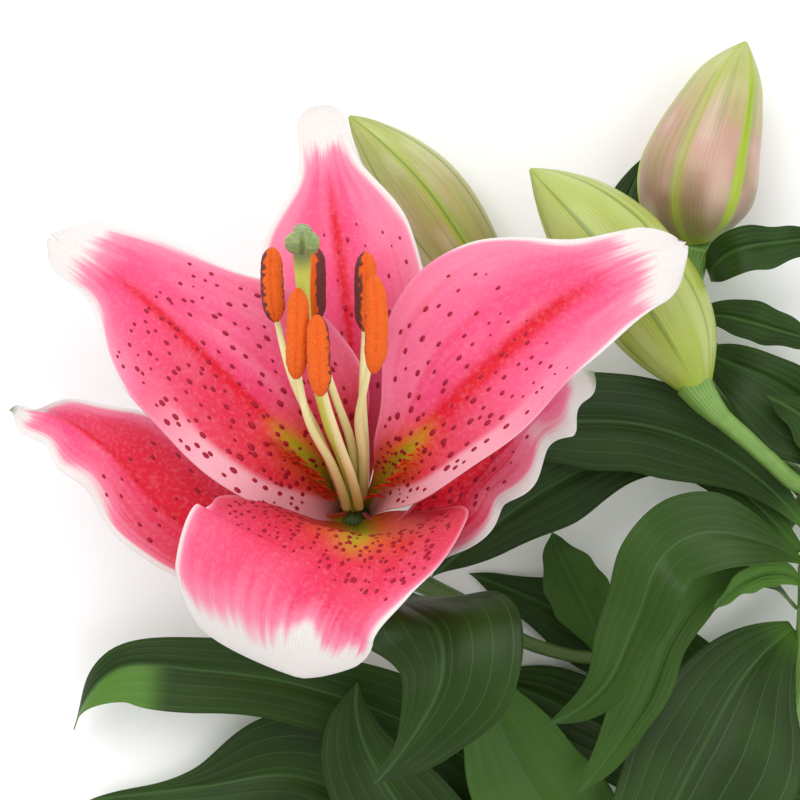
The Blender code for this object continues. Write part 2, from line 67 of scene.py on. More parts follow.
# Each tepal: its midrib path, half widths left and right of it, and cup angles of the halves.
# paint: mm of white at the left and right margins and where along them it starts, where the
# white tip starts, how strong, wide and long the crimson rib is, how far the throat's red
# reaches on the left and the right, how far the yellow nectary furrow does and how wide it is,
# mm of pale band beside the lower margins, and how far the white tip runs up the rib.
# shade, in paint: how strongly crimson is painted as shade over the inner halves, left and right.
TEPALS = {
    "sepal_upper": blade(
        [(-43.5, 39.8, 32.2), (-44, 52.5, 49), (-44, 72.5, 64), (-46, 97, 66),
         (-49.5, 121.5, 58), (-53, 149, 40)],
        (2.8, 7, 17, 22, 20, 8, 8), (2.8, 7, 17, 22, 20, 9, 6.5),
        cup_left=(50, 12, 30), cup_right=(50, 12, 30), ruffle=(0.9, 2.6, 0),
        paint=dict(white=(1.3, 1.5), white_from=0.3, tip=0.885, rib=1.0, rib_width=3.6,
            rib_end=0.86, throat=(0.3, 0.3), nectar=0.12, flush=0.1, shade=(0.1, 0.05)),
        spots=dict(count=46, along=(0.3, 0.7), across=(-0.75, 0.85))),
    "sepal_left": blade(
        [(-48, 33, 37.5), (-57, 31, 48), (-72, 30.5, 58), (-90.5, 33.5, 64),
         (-110.5, 53, 60), (-124.5, 62, 50), (-141, 64, 30)],
        (4, 10, 15, 14, 12, 9, 1), (4, 7, 17, 24, 14, 2.5, 1),
        cup_left=(50, 40, 20), cup_right=(50, 50, 30), ruffle=(1.3, 3.5, 0.1), wavy=(0.9, 5),
        paint=dict(white=(2.6, 1.1), white_from=0.35, tip=0.9, rib=0.9, rib_width=2.0,
            rib_end=0.9, throat=(0.6, 0.7), nectar=0.12, flush=0.5, shade=(0.3, 0.85),
            green=0.8),
        spots=dict(count=34, along=(0.2, 0.62), across=(-0.7, 0.8))),
    "sepal_right": blade(
        [(-39, 34, 38), (-30, 29.5, 49), (-18, 37, 59), (-9.5, 47, 63.5), (-2, 56, 66),
         (7, 67, 65), (22, 75, 54)],
        (3, 5, 9, 11, 10, 7, 1), (4, 8, 12, 13, 12, 11, 4),
        cup_left=(50, 50, 40), cup_right=(50, 35, 0), ruffle=(1.7, 4.5, 0.6), wavy=(1.5, 5),
        paint=dict(white=(1.2, 4.2), white_from=0.36, tip=0.9, rib=1.0, rib_width=3.0,
            rib_end=0.92, throat=(0.8, 0.6), nectar=0.12, flush=0.8, shade=(1.0, 0.7),
            green=0.6),
        spots=dict(count=50, along=(0.15, 0.7), across=(-0.8, 0.55))),
    "petal_left": blade(
        [(-47.6, 37, 34.5), (-53.5, 48.5, 58), (-64, 59.5, 74), (-83.5, 79, 80),
         (-103.5, 97, 72), (-126.5, 111.5, 50)],
        (4, 14, 21, 23, 19, 9, 8), (2, 9, 28, 29, 20, 14, 7),
        cup_left=(70, 20, -10), cup_right=(60, 10, -15), ruffle=(1.1, 3.2, 0.2),
        lobes=[(-0.5, 0.3, 2.5), (0, 0.22, -2.5), (0.55, 0.35, 2)],
        paint=dict(white=(1.6, 2.6), white_from=0.66, tip=0.89, rib=1.0, rib_width=3.6,
            rib_end=0.88, throat=(0.6, 0.42), nectar=0.33, flush=0.25,
            shade=(0.4, 0.0), band=(8, 0)),
        spots=dict(count=190, along=(0.17, 0.7), across=(-0.95, 0.85), size=1.1), hairs=(70, -1)),
    "petal_right": blade(
        [(-39.4, 37, 34.5), (-34, 47.5, 58), (-26.5, 56, 74), (-9.5, 73.5, 80),
         (14, 94, 78), (45, 109, 70)],
        (2, 4, 12, 30, 28, 12, 7), (3, 10, 17, 20, 18, 15, 11),
        cup_left=(60, 10, -15), cup_right=(90, 50, -15), ruffle=(1.1, 3.2, 0.5),
        lobes=[(-0.1, 0.3, 1.5), (0.6, 0.3, 1.5)],
        paint=dict(white=(2.0, 1.0), white_from=0.7, tip=0.895, rib=1.15, rib_width=5.8,
            rib_end=0.88, throat=(0.32, 0.45), nectar=0.34, flush=0.15,
            shade=(0, 0.5), band=(0, 7)),
        spots=dict(count=130, along=(0.17, 0.66), across=(-0.85, 0.9)), hairs=(26, 1)),
    "petal_lower": blade(
        [(-43.5, 31.4, 38), (-42, 30, 60), (-43, 30, 84), (-47, 22, 102), (-54, 10, 106),
         (-57, -5.5, 98)],
        (2, 15, 27.5, 30, 20, 17, 11), (2, 16, 30, 37, 40, 38, 20), swing=28,
        cup_left=(60, 38, -10), cup_right=(60, 12, -15), ruffle=(1.2, 2.7, 0.3), wavy=(1.1, 4),
        paint=dict(white=(1.3, 0.9), white_from=0.62, tip=0.888, rib=0.3, rib_width=3.4,
            rib_end=0.9, throat=(0.74, 0.74), nectar=0.52, flush=0.6, shade=(0.6, 0.6),
            furrow=4.2, notch=0.06),
        spots=dict(count=210, along=(0.3, 0.7), across=(-0.9, 0.9), size=1.25)),
}

# Leaves: as the tepals, without paint. light is how much of the leaf is bright young green.
SLIM = (3, 8, 12, 13, 11, 6, 0.5)
LEAVES = {
    "bract_1": blade(
        [(58.3, 103.5, 16.5), (60, 107, 25), (66, 110, 30), (79, 112, 28), (100, 114, 24)],
        (2, 5, 6, 5, 3.5, 2, 0.5), (2, 6, 7, 7, 5, 3, 0.5)),
    "bract_2": blade(
        [(55.5, 90, 15), (60, 91, 20), (69, 89, 22), (80, 86, 20), (96, 82, 16)],
        (2, 4, 6, 6, 4, 2, 0.5), (2, 3, 5, 5, 4, 2, 0.5)),
    "bract_3": blade(
        [(57.5, 80, 15.5), (64, 77, 23), (75, 72, 27), (91, 61, 27), (109, 44, 20)],
        (2, 6, 7, 8, 8, 5, 0.5), (2, 8, 15, 18, 15, 8, 0.5)),
    "bract_4": blade(
        [(-33, 14.6, 17.5), (-34, 12, 36), (-30, 12, 58), (-21, 6, 73), (-20, -8, 77),
         (-27, -23, 71), (-38, -38, 58)], (3, 8, 18, 23, 19, 11, 1), (3, 8, 16, 24, 11, 4, 1)),
    "bract_5": blade(
        [(27, -3.8, 12), (24, 4, 14), (20, 12, 14.5), (15.5, 21, 14), (12.5, 29, 13)],
        (2, 5, 8, 9, 8, 5, 0.5), light=0.25),
    "leaf_01": blade(
        [(88.2, 33, 20.6), (83, 43, 11), (70, 52, 7), (60, 70, 5), (41, 99, 4), (34.5, 119, 1.6),
         (38, 132, 0.8), (43, 140, 0.6)], (2, 3, 6, 8, 9, 6, 0.5)),
    "leaf_02": blade(
        [(91.6, 36.8, 27.4), (91, 48, 31), (84.5, 60, 33), (72, 68, 34)], (2, 4, 6, 7, 6, 4, 0.5)),
    "leaf_03": blade(
        [(81.8, 33, 26), (64, 49.5, 29), (42, 59, 31), (19, 61, 38), (0, 57, 40), (-16, 50, 37)],
        (1.2, 6, 12, 14, 13, 8, 0.5), (1.2, 6, 11, 13, 14, 9, 0.5)),
    "leaf_04": blade(
        [(81.2, 25.5, 24.5), (62, 44, 23), (42, 53, 23), (23, 48, 25), (3, 37, 28), (-22, 17, 30)],
        (1.2, 5, 6, 9, 12, 8, 0.5), (1.2, 5, 9, 13, 13, 8, 0.5)),
    "leaf_05": blade(
        [(91.6, 21, 25.5), (99, 31, 31), (114, 38.5, 32), (129, 34, 26), (141, 25, 16)],
        (1, 6.5, 12, 13, 11, 6, 0.5), (1, 8, 12, 13, 11, 6, 0.5)),
    "leaf_06": blade(
        [(81.8, 21.5, 27.5), (68, 28.5, 46), (51, 31, 64), (39, 24, 74), (32, 6, 70), (24, -11, 66),
         (9, -22, 58)], (1.5, 7, 11, 11, 9, 6, 0.5), (1.5, 7, 11, 11.5, 9.5, 6, 0.5), light=0.12),
    "leaf_07": blade(
        [(82, 15, 28), (76, 18.5, 35), (66, 17, 43), (56, 9, 48)], (1, 2.5, 3.5, 4, 3.5, 2, 0.5),
        light=0.8),
    "leaf_08": blade(
        [(80, 9, 23), (68, 18, 33), (55, 14, 41), (44, 0, 48), (36, -18, 49), (18, -43, 44)],
        (2, 4, 5, 5, 5, 4, 0.5), (2, 5, 9, 10, 9, 6, 0.5), light=0.3),
    "leaf_09": blade(
        [(79.2, 1, 24.5), (66, -10, 34), (53, -31, 41), (40, -56, 41), (26, -83, 33.5)],
        (2.5, 15, 26, 29, 24, 12, 0.5), (2.5, 12, 18, 19, 16, 9, 0.5)),
    "leaf_10": blade(
        [(88.6, -5, 24), (98, -2, 31), (111, -7, 33), (125, -22, 25), (134, -41, 13)], SLIM),
    "leaf_11": blade(
        [(74.2, -29, 20), (57, -15.5, 10), (30, -1.5, 5.6), (7, 9.5, 3), (-11, 16.5, 1.5)], SLIM),
    "leaf_12": blade(
        [(77.6, -47.5, 20.5), (88, -47, 22), (105, -59, 18), (120, -77, 8), (130, -97, 0.6)],
        (3, 9, 14, 15, 12, 7, 0.5)),
    "leaf_13": blade(
        [(69, -44, 17.5), (49, -39, 9), (24, -26, 3.2), (4, -17, 1.6), (-15, -14, 1)], SLIM),
    "leaf_14": blade(
        [(49, -80.5, 17), (15, -58, 15), (-22, -29, 18), (-57, -15, 20), (-88, -10, 20),
         (-112, -10, 17), (-125, -28, 9)], (3, 9, 12, 12, 11, 12.5, 1), (3, 9, 12, 12, 10, 8, 1),
        fold=0.8),
    "leaf_15": blade(
        [(60.2, -82, 18), (73, -86, 19), (86, -105, 13), (93, -130, 5.5), (95, -151, 0.5)], SLIM),
    "leaf_16": blade(
        [(46.5, -87, 21.5), (26, -69, 28), (7, -43, 34), (-7, -17, 36), (-17, 0, 34)],
        (4, 11, 17, 18, 15, 8, 0.5), light=0.36),
    "leaf_17": blade(
        [(34.5, -98, 12), (4, -76, 7), (-31, -57, 7), (-60, -42, 8), (-89, -45, 6), (-121, -49, 4)],
        (3, 9, 13, 14, 12, 8, 0.5), (3, 9, 16, 22, 19, 5, 0.5)),
    "leaf_18": blade(
        [(22.5, -113, 16), (-3, -83, 24), (-27, -53, 30), (-41, -30, 32), (-43, -13, 28)],
        (4, 11, 16, 17, 18, 14, 2), (4, 11, 16, 17, 15, 9, 0.5)),
    "leaf_19": blade(
        [(9, -125.5, 9.5), (-11, -115, 14), (-34, -117, 11), (-57, -128, 4.5), (-73, -142, 0.5)],
        SLIM),
}
LEAF_CUP = (20, 12, 5)

# Samples of a path, and points along and across, or round, each kind of piece.
PATH_SAMPLES = 500
TEPAL_GRID, LEAF_GRID = (220, 120), (130, 60)
FILAMENT_GRID, STYLE_GRID = (60, 20), (90, 24)
ANTHER_GRID, STIGMA_GRID, BUD_GRID, STALK_GRID = (90, 64), (60, 96), (170, 168), (220, 56)

# Stalks: a path, the radii spread evenly along it, how many ridges run along it, if not 5, and
# the share of painted shade that darkens it to leaf green where it lies under leaves and flower.
STALKS = {
    "stem": dict(
        path=[(-24, -168, 4), (1, -141, 7), (26, -114, 12), (49, -89, 17), (66, -61, 20),
              (79, -30, 22), (84.5, -1, 24), (86.3, 22, 25), (86.8, 33, 25), (87, 41, 25),
              (87, 44, 25)],
        radii=(4, 4, 4, 3.9, 3.8, 3.6, 3.4, 3.2, 3.0, 4.2, 2.4), ridges=7),
    "stalk_flower": dict(
        path=[(85, 40.5, 24.4), (78, 30, 19), (67, 16, 14), (50, 2, 12), (28, -7, 11), (6, -3, 10.5),
              (-12, 8, 10.5), (-26, 15, 12.5), (-37, 22.5, 20), (-42.8, 31, 30), (-43.4, 35.8, 36)],
        radii=(2.2, 2, 1.9, 1.9, 1.9, 2.1, 2.7, 3.8, 4.6), painted_shade=0.7),
    "stalk_upper_bud": dict(
        path=[(87, 43, 25), (82, 53, 18.5), (70, 59, 15.5), (56.5, 74, 13), (51.5, 93, 12),
              (52.5, 104.5, 13), (54, 112.6, 16.4)],
        radii=(2.4, 2, 1.8, 1.8, 2.1, 3.6, 5.6)),
    "stalk_middle_bud": dict(
        path=[(86, 41.8, 27), (79.5, 44, 33.5), (73, 49.5, 38), (65, 56.5, 41.5),
              (57, 63.5, 43), (50.8, 71.6, 42)],
        radii=(2.4, 2.4, 2.4, 2.8, 5.2)),
    "stalk_lower_bud": dict(
        path=[(86, 42, 23), (79, 48, 14), (62, 51, 11.5), (41, 58.5, 10), (18, 74, 10),
              (-0.6, 93.2, 11.8)],
        radii=(2.0, 1.8, 1.7, 1.7, 2, 4.2)),
}

# Buds: an axis, the greatest radius, the radius along it, and where its seams are turned to.
BUDS = {
    "bud_upper": dict(
        path=[(54, 112, 16.2), (54.5, 128.5, 17.5), (61, 150, 17), (68, 169.5, 16)],
        radius=17.0, outline=[(0, 0.3), (0.05, 0.58), (0.11, 0.8), (0.18, 0.93), (0.3, 1),
                              (0.5, 0.88), (0.68, 0.71), (0.85, 0.47), (0.95, 0.2), (1, 0.03)],
        turn=58, flush=1.0, rib=1.0, line=0.1),
    "bud_middle": dict(
        path=[(51.5, 70.5, 42), (42, 89.5, 42), (28, 108.5, 43), (5.5, 131.5, 38)],
        radius=15.1, outline=[(0, 0.3), (0.06, 0.5), (0.15, 0.76), (0.3, 0.98), (0.45, 1),
                              (0.6, 0.97), (0.8, 0.68), (0.92, 0.34), (1, 0.04)],
        turn=100, flush=0.0, rib=0.35, line=0.9),
    "bud_lower": dict(
        path=[(0, 92.5, 11.6), (-11, 107, 12.3), (-26.5, 128.5, 13.5), (-45.5, 148, 18)],
        radius=12.3, outline=[(0, 0.3), (0.06, 0.5), (0.2, 0.78), (0.4, 0.98), (0.52, 1),
                              (0.7, 0.84), (0.86, 0.5), (0.95, 0.24), (1, 0.04)],
        turn=84, flush=0.5, rib=0.8, line=1.0),
}

# Stamens: the filament's path, the anther's path, and how much of the anther's left side and
# right side is bare of pollen.
STAMENS = [
    ([(-46.9, 40, 43.8), (-52.3, 56, 71.5), (-59.4, 72.3, 87), (-63, 86, 91.5),
      (-64.3, 96, 95)],
     [(-63.5, 87.5, 96), (-64.5, 97, 97), (-64.5, 107, 96)], (0.55, 0.2)),
    ([(-45.8, 37.2, 47), (-49.1, 49, 72), (-55, 61, 89), (-57.5, 73, 97),
      (-57.7, 83, 105)],
     [(-58, 72.5, 106), (-57.5, 84, 107), (-57.5, 96, 106)], (0.1, 0)),
    ([(-42.4, 37.4, 47), (-44, 46, 69), (-47.5, 57, 88), (-50.5, 68, 101),
      (-52, 78, 108)],
     [(-51.5, 68, 109), (-52, 78.5, 110), (-52.5, 89, 109)], (0.1, 0.3)),
    ([(-43.4, 42.7, 43.4), (-44.4, 56, 68.5), (-48.6, 69, 84), (-52.5, 82, 88.5),
      (-53.5, 95, 91)],
     [(-53.5, 87, 92), (-53.5, 97, 93), (-53.5, 107.5, 92)], (0.3, 1.0)),
    ([(-41.1, 42.2, 41), (-40.6, 54.2, 63), (-41, 67, 79), (-40.5, 82, 86.5),
      (-40, 94, 92)],
     [(-40, 85, 93), (-40, 96, 94), (-40, 106, 93)], (0.75, 0)),
    ([(-41.5, 40, 43), (-41, 51, 64), (-42, 62, 83), (-39.5, 74, 98),
      (-37.5, 85.5, 106)],
     [(-38, 74, 107), (-37, 86.5, 108), (-38, 99.5, 107)], (0.15, 0)),
]
FILAMENT_RADII = (1.3, 1.2, 1.1, 0.9, 0.6)
ANTHER_RADIUS = 2.7
ANTHER_OUTLINE = [(0, 0.25), (0.05, 0.55), (0.16, 0.9), (0.4, 1), (0.7, 0.98), (0.88, 0.82),
                  (0.96, 0.5), (1, 0.2)]
STYLE = dict(
    path=[(-43.8, 37.4, 38.3), (-44.7, 44.5, 54), (-47.3, 53, 70), (-50.5, 61.5, 81),
          (-55, 81, 94), (-56.3, 96, 101.5), (-56.2, 106.4, 112.4)],
    radii=(1.8, 1.6, 1.5, 1.4, 1.5, 1.7, 2.6))
STIGMA = dict(path=[(-56.2, 105.6, 112), (-56, 108.3, 116), (-56, 110.4, 118)],
              outline=[(0, 0.45), (0.25, 0.8), (0.55, 1), (0.85, 0.8), (1, 0.25)], radius=4.1)


def amount(name, default, description, unit="NONE"):
    return FloatProperty(name=name, description=description, default=default, min=0.0,
                         unit=unit, precision=5)


def length(name, default, description):
    return amount(name, default, description, "LENGTH")


def colour(name, default, description):
    return FloatVectorProperty(name=name, description=description, default=default, size=3,
                               subtype="COLOR", min=0.0, max=1.0)


class LilySizes(PropertyGroup):
    """Sizes that a grower of another lily would change."""
    tepal_thickness: length("Tepal thickness", 0.0011, "Thickness of a tepal along its rib")
    leaf_thickness: length("Leaf thickness", 0.0008, "Thickness of a leaf along its rib")
    spot_length: length("Spot length", 0.0022, "Length of the largest raised spots")
    spot_height: length("Spot height", 0.0003, "How far a spot stands out of a petal")
    hair_length: length("Hair length", 0.0034, "Length of the hairs beside the nectaries")
    filament_girth: length("Filament radius", 0.001, "Radius of a filament, halfway up")


class LilyColours(PropertyGroup):
    """Colours of the flower, the buds and the leaves."""
    pink: colour("Petal pink", (0.80, 0.055, 0.19), "Middle of a petal")
    pale: colour("Pale pink", (0.85, 0.27, 0.40), "Towards the margins")
    white: colour("Petal white", (0.76, 0.74, 0.71), "Margins and tips")
    crimson: colour("Crimson", (0.66, 0.004, 0.022), "Ribs and shaded folds")
    throat: colour("Throat red", (0.62, 0.014, 0.036), "Inner part of the petals")
    glow: colour("Nectary glow", (0.78, 0.17, 0.012), "Orange flesh round a furrow")
    nectar: colour("Nectary green", (0.42, 0.42, 0.008), "Furrow at the base of a petal")
    spot: colour("Spot", (0.33, 0.002, 0.022), "Raised spots")
    hair: colour("Hair", (0.62, 0.03, 0.008), "Hairs beside the nectaries")
    petal_back: colour("Petal back", (0.80, 0.38, 0.48), "Outside of a petal")
    leaf: colour("Leaf", (0.013, 0.036, 0.002), "Upper side of a grown leaf")
    leaf_light: colour("Young leaf", (0.09, 0.22, 0.025), "Upper side of a young leaf")
    leaf_back: colour("Leaf back", (0.15, 0.28, 0.07), "Lower side of a leaf")
    vein: colour("Leaf vein", (0.055, 0.125, 0.030), "Veins of a leaf")
    stem: colour("Stem", (0.17, 0.33, 0.06), "Stem and stalks")
    pith: colour("Pith", (0.62, 0.68, 0.36), "Inside of the cut stem")
    filament: colour("Filament", (0.82, 0.82, 0.42), "Stalks of the stamens")
    style: colour("Style", (0.58, 0.66, 0.11), "Stalk of the stigma")
    stigma: colour("Stigma", (0.20, 0.26, 0.09), "Three-lobed head of the pistil")
    pollen: colour("Pollen", (0.85, 0.125, 0.001), "Faces of the anthers")
    anther_back: colour("Anther back", (0.13, 0.02, 0.02), "Bare parts of the anthers")
    bud: colour("Bud", (0.36, 0.43, 0.05), "Green of the buds")
    bud_rib: colour("Bud rib", (0.34, 0.46, 0.012), "Ribs of the buds")
    bud_shade: colour("Bud shade", (0.16, 0.075, 0.055), "Brownish foot of a flushed bud")
    bud_pink: colour("Bud pink", (0.52, 0.23, 0.24), "Flush of the buds")


class LilyStage(PropertyGroup):
    """The surface, the lights and the camera."""
    camera_height: length("Camera height", 0.97, "Height of the camera above the surface")
    lens: amount("Lens", 150.0, "Focal length on a 36 mm wide sensor", "CAMERA")
    floor: colour("Surface", (0.97, 0.97, 0.97), "The plain surface under the lily")
    key_power: amount("Key light", 14.0, "Power of the main soft box", "POWER")
    fill_power: amount("Fill light", 7.0, "Power of the second soft box", "POWER")
    sky: amount("Room light", 0.78, "Strength of the even light all round")


def smooth_path(points, count):
    """Places and directions at even steps of length on a cubic Hermite spline through the
    points. Its knots are spaced by the square roots of the distances between the points."""
    p = np.array(points, float)
    steps = np.sqrt(np.linalg.norm(np.diff(p, axis=0), axis=1))
    knots = np.concatenate([[0], np.cumsum(steps)])
    slopes = np.empty_like(p)
    slopes[1:-1] = (p[2:] - p[:-2]) / (knots[2:] - knots[:-2])[:, None]
    slopes[0] = 2 * (p[1] - p[0]) / steps[0] - slopes[1]
    slopes[-1] = 2 * (p[-1] - p[-2]) / steps[-1] - slopes[-2]
    fine = np.linspace(0, knots[-1], PATH_SAMPLES)
    i = np.clip(np.searchsorted(knots, fine, side="right") - 1, 0, len(p) - 2)
    h = steps[i][:, None]
    t = (fine - knots[i])[:, None] / h
    curve = p[i] + (p[i + 1] - p[i]) * t * t * (3 - 2 * t)
    curve += h * t * (1 - t) * (slopes[i] * (1 - t) - slopes[i + 1] * t)
    run = np.concatenate([[0], np.cumsum(np.linalg.norm(np.diff(curve, axis=0), axis=1))])
    at = np.linspace(0, run[-1], count)
    even = np.stack([np.interp(at, run, curve[:, axis]) for axis in range(3)], axis=1)
    return even, unit(np.gradient(even, axis=0))


def unit(vectors):
    return vectors / np.maximum(np.linalg.norm(vectors, axis=-1, keepdims=True), 1e-12)


def eased(places, values, s):
    """Cubic Hermite through the values at the places, with the slopes that np.gradient gives."""
    x, y = np.array(places, float), np.array(values, float)
    slope = np.gradient(y, x)
    i = np.clip(np.searchsorted(x, s, side="right") - 1, 0, len(x) - 2)
    h = x[i + 1] - x[i]
    t = (s - x[i]) / h
    value = y[i] + (y[i + 1] - y[i]) * t * t * (3 - 2 * t)
    return value + h * t * (1 - t) * (slope[i] * (1 - t) - slope[i + 1] * t)


def base_middle_tip(values, s):
    """The quadratic through the values at s = 0, 1/2 and 1."""
    base, middle, tip = values
    return base * (1 - s) * (1 - 2 * s) + 4 * middle * s * (1 - s) + tip * s * (2 * s - 1)


def rise(x, low, high):
    """0 below low, 1 above high, and 3t^2 - 2t^3 between them."""
    t = np.clip((x - low) / (high - low), 0, 1)
    return t * t * (3 - 2 * t)


def fall(x, low, high):
    return 1 - rise(x, low, high)


def hump(x, width):
    """1 at x = 0, and exp(-(x / width)^2) to both sides."""
    return np.exp(-(x / width)**2)


def cloud(rows, columns, cells, seed):
    """Soft random values from -1 to 1 on a grid: a coarse random grid, eased between cells."""
    coarse = np.random.default_rng(seed).uniform(-1, 1, (cells[0] + 1, cells[1] + 1))
    a, b = np.linspace(0, cells[0], rows), np.linspace(0, cells[1], columns)
    i, j = np.minimum(a.astype(int), cells[0] - 1), np.minimum(b.astype(int), cells[1] - 1)
    p, q = rise(a - i, 0, 1)[:, None], rise(b - j, 0, 1)[None, :]
    low = coarse[i][:, j] * (1 - q) + coarse[i][:, j + 1] * q
    high = coarse[i + 1][:, j] * (1 - q) + coarse[i + 1][:, j + 1] * q
    return low * (1 - p) + high * p


def mixed(a, b, share):
    """Colour a changed into colour b by the share, everywhere at once."""
    share = np.clip(np.asarray(share), 0, 1)[..., None]
    return np.asarray(a) * (1 - share) + np.asarray(b) * share


def coated(tint, *coats):
    """The tint under one coat after another; a coat is a colour and its share."""
    for coat, share in coats:
        tint = mixed(tint, coat, share)
    return tint


def ring_grid(rows, around):
    """s from 0 to 1 down a column, and the angles of a ring along a row."""
    return np.linspace(0, 1, rows)[:, None], np.linspace(0, 2 * np.pi, around, endpoint=False)[None]


class Sheet:
    """A tepal's or leaf's middle surface on a grid, with rows from base to tip.

    s runs from 0 at the base to 1 at the tip, and v from -1 at the left margin to 1 at the
    right. The side direction is level and square to the path's chord, and is turned about Z by
    the swing at the base. Across, the sheet is an arc of the half width w, bent by the cup
    angle a: out by w sin(av)/a and up by w (1 - cos(av))/a. A ruffle lifts the margins by
    |v|^2.5 times a sine along s, wavy margins go in and out, the rib is a narrow valley, and
    lobes push parts of the tip outwards."""

    def __init__(self, shape, rows, columns, tuck=0.0, groove=0.0, crease=0.0):
        path = np.array(shape["path"], float)
        path[0] -= unit(path[1] - path[0]) * tuck
        self.middle, along = smooth_path(path, rows)
        self.s = np.linspace(0, 1, rows)[:, None] + np.zeros((1, columns))
        self.v = np.linspace(-1, 1, columns)[None, :] + np.zeros((rows, 1))
        s, v = self.s, self.v
        chord = self.middle[-1] - self.middle[0]
        swing = np.radians(shape.get("swing", 0) * (1 - s[:, 0])**2)
        level = np.stack([chord[1] * np.cos(swing) + chord[0] * np.sin(swing),
                          chord[1] * np.sin(swing) - chord[0] * np.cos(swing), 0 * swing], axis=1)
        side = unit(level - np.sum(along * level, axis=1)[:, None] * along)
        upper = np.cross(side, along)
        steps = np.linspace(0, 1, len(shape["left"]))
        half = np.where(v < 0, eased(steps, shape["left"], s), eased(steps, shape["right"], s))
        reach, waves = shape.get("wavy", (0.4, 4))
        half = half + reach * np.sin(2 * np.pi * (waves * s + 0.3 * np.sign(v))) * rise(s, 0.25, 0.5)
        self.half = half * np.sqrt(1 - 0.98 * np.clip((s - 0.92) / 0.08, 0, 1)**2)
        cup_left = base_middle_tip(shape.get("cup_left", LEAF_CUP), s)
        cup_right = base_middle_tip(shape.get("cup_right", LEAF_CUP), s)
        bend = np.radians(np.where(v < 0, cup_left, cup_right)) * v
        bend = np.where(np.abs(bend) < 1e-4, 1e-4, bend)
        self.x = self.half * v
        out = self.x * np.sin(bend) / bend
        lift = self.x * (1 - np.cos(bend)) / bend
        swell = np.sqrt(np.clip(np.sin(np.pi * s), 0, 1))
        height, waves, phase = shape.get("ruffle", (0.5, 2.5, 0.3))
        turn = 2 * np.pi * (waves * s + phase + 0.17 * np.sign(v))
        lift += height * swell * np.abs(v)**2.5 * np.sin(turn)
        lift -= groove * swell * hump(self.x, 1.1)
        lift -= crease * self.half * swell * hump(v, 0.2)
        push = 0 * s
        for where, width, reach in shape.get("lobes", ()):
            push += reach * hump(v - where, width) * rise(s, 0.8, 1)
        self.points = (self.middle[:, None] + out[..., None] * side[:, None]
                       + lift[..., None] * upper[:, None] + push[..., None] * along[:, None]) * MM
        across = np.gradient(self.points, axis=1)
        forward = np.gradient(self.points, axis=0)
        self.normals = unit(np.cross(across, forward))
        self.forward = unit(forward)

    def wall(self, thickness):
        """Thickness at each point: it falls to a third at the margins, by 1 - v^4."""
        return thickness * (0.3 + 0.7 * (1 - self.v**4)) * (1 - 0.5 * self.s**3)

    def margin(self):
        """Millimetres to the nearer margin, measured across the sheet."""
        return self.half * (1 - np.abs(self.v))

    def at(self, s, v):
        """Row and column numbers of the grid points nearest to the places (s, v)."""
        rows, columns = self.s.shape
        i = np.rint(np.clip(s, 0, 1) * (rows - 1)).astype(int)
        j = np.rint((np.clip(v, -1, 1) + 1) / 2 * (columns - 1)).astype(int)
        return i, j


def grid_faces(rows, columns):
    """Quads between the points of a grid that are numbered row by row."""
    first = np.arange(rows - 1)[:, None] * columns + np.arange(columns - 1)[None, :]
    first = first.ravel()
    return np.stack([first, first + 1, first + columns + 1, first + columns], axis=1)


def add_mesh(name, points, faces, uv, tint, finish):
    """A smooth mesh object with a UV map and a tint at each point.

    faces is a list of arrays of point numbers, and uv of their corners' places. If the enclosed
    volume, the sum of a . (b x c) / 6 over triangles, is negative, the faces are turned."""
    points = points.reshape(-1, 3)
    fans = [part[:, [0, k, k + 1]] for part in faces for k in range(1, part.shape[1] - 1)]
    a, b, c = (points[np.concatenate(fans)[:, k]] for k in range(3))
    if np.einsum("ij,ij->", a, np.cross(b, c)) < 0:
        faces = [part[:, ::-1] for part in faces]
        uv = [part[:, ::-1] for part in uv]
    corners = np.concatenate([part.ravel() for part in faces]).astype(np.int32)
    sizes = np.concatenate([np.full(len(part), part.shape[1]) for part in faces])
    starts = np.concatenate([[0], np.cumsum(sizes)[:-1]]).astype(np.int32)
    mesh = bpy.data.meshes.new(name)
    mesh.vertices.add(len(points))
    mesh.vertices.foreach_set("co", points.astype(np.float32).ravel())
    mesh.loops.add(len(corners))
    mesh.loops.foreach_set("vertex_index", corners)
    mesh.polygons.add(len(sizes))
    mesh.polygons.foreach_set("loop_start", starts)
    mesh.update(calc_edges=True)
    layer = mesh.uv_layers.new(name="UVMap")
    flat = np.concatenate([part.reshape(-1, 2) for part in uv])
    layer.data.foreach_set("uv", flat.astype(np.float32).ravel())
    rgba = np.ones((len(points), 4), np.float32)
    rgba[:, :3] = tint.reshape(-1, 3)
    mesh.color_attributes.new("tint", "FLOAT_COLOR", "POINT").data.foreach_set(
        "color", rgba.ravel())
    mesh.shade_smooth()
    mesh.materials.append(finish)
    piece = bpy.data.objects.new(name, mesh)
    bpy.context.scene.collection.objects.link(piece)
    return piece


def place(piece, slot, *nodes):
    """The piece moves with the spray and stands for the nodes, which are hidden. slot is not used."""
    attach(piece, SPRAY)
    if nodes:
        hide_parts(*nodes)


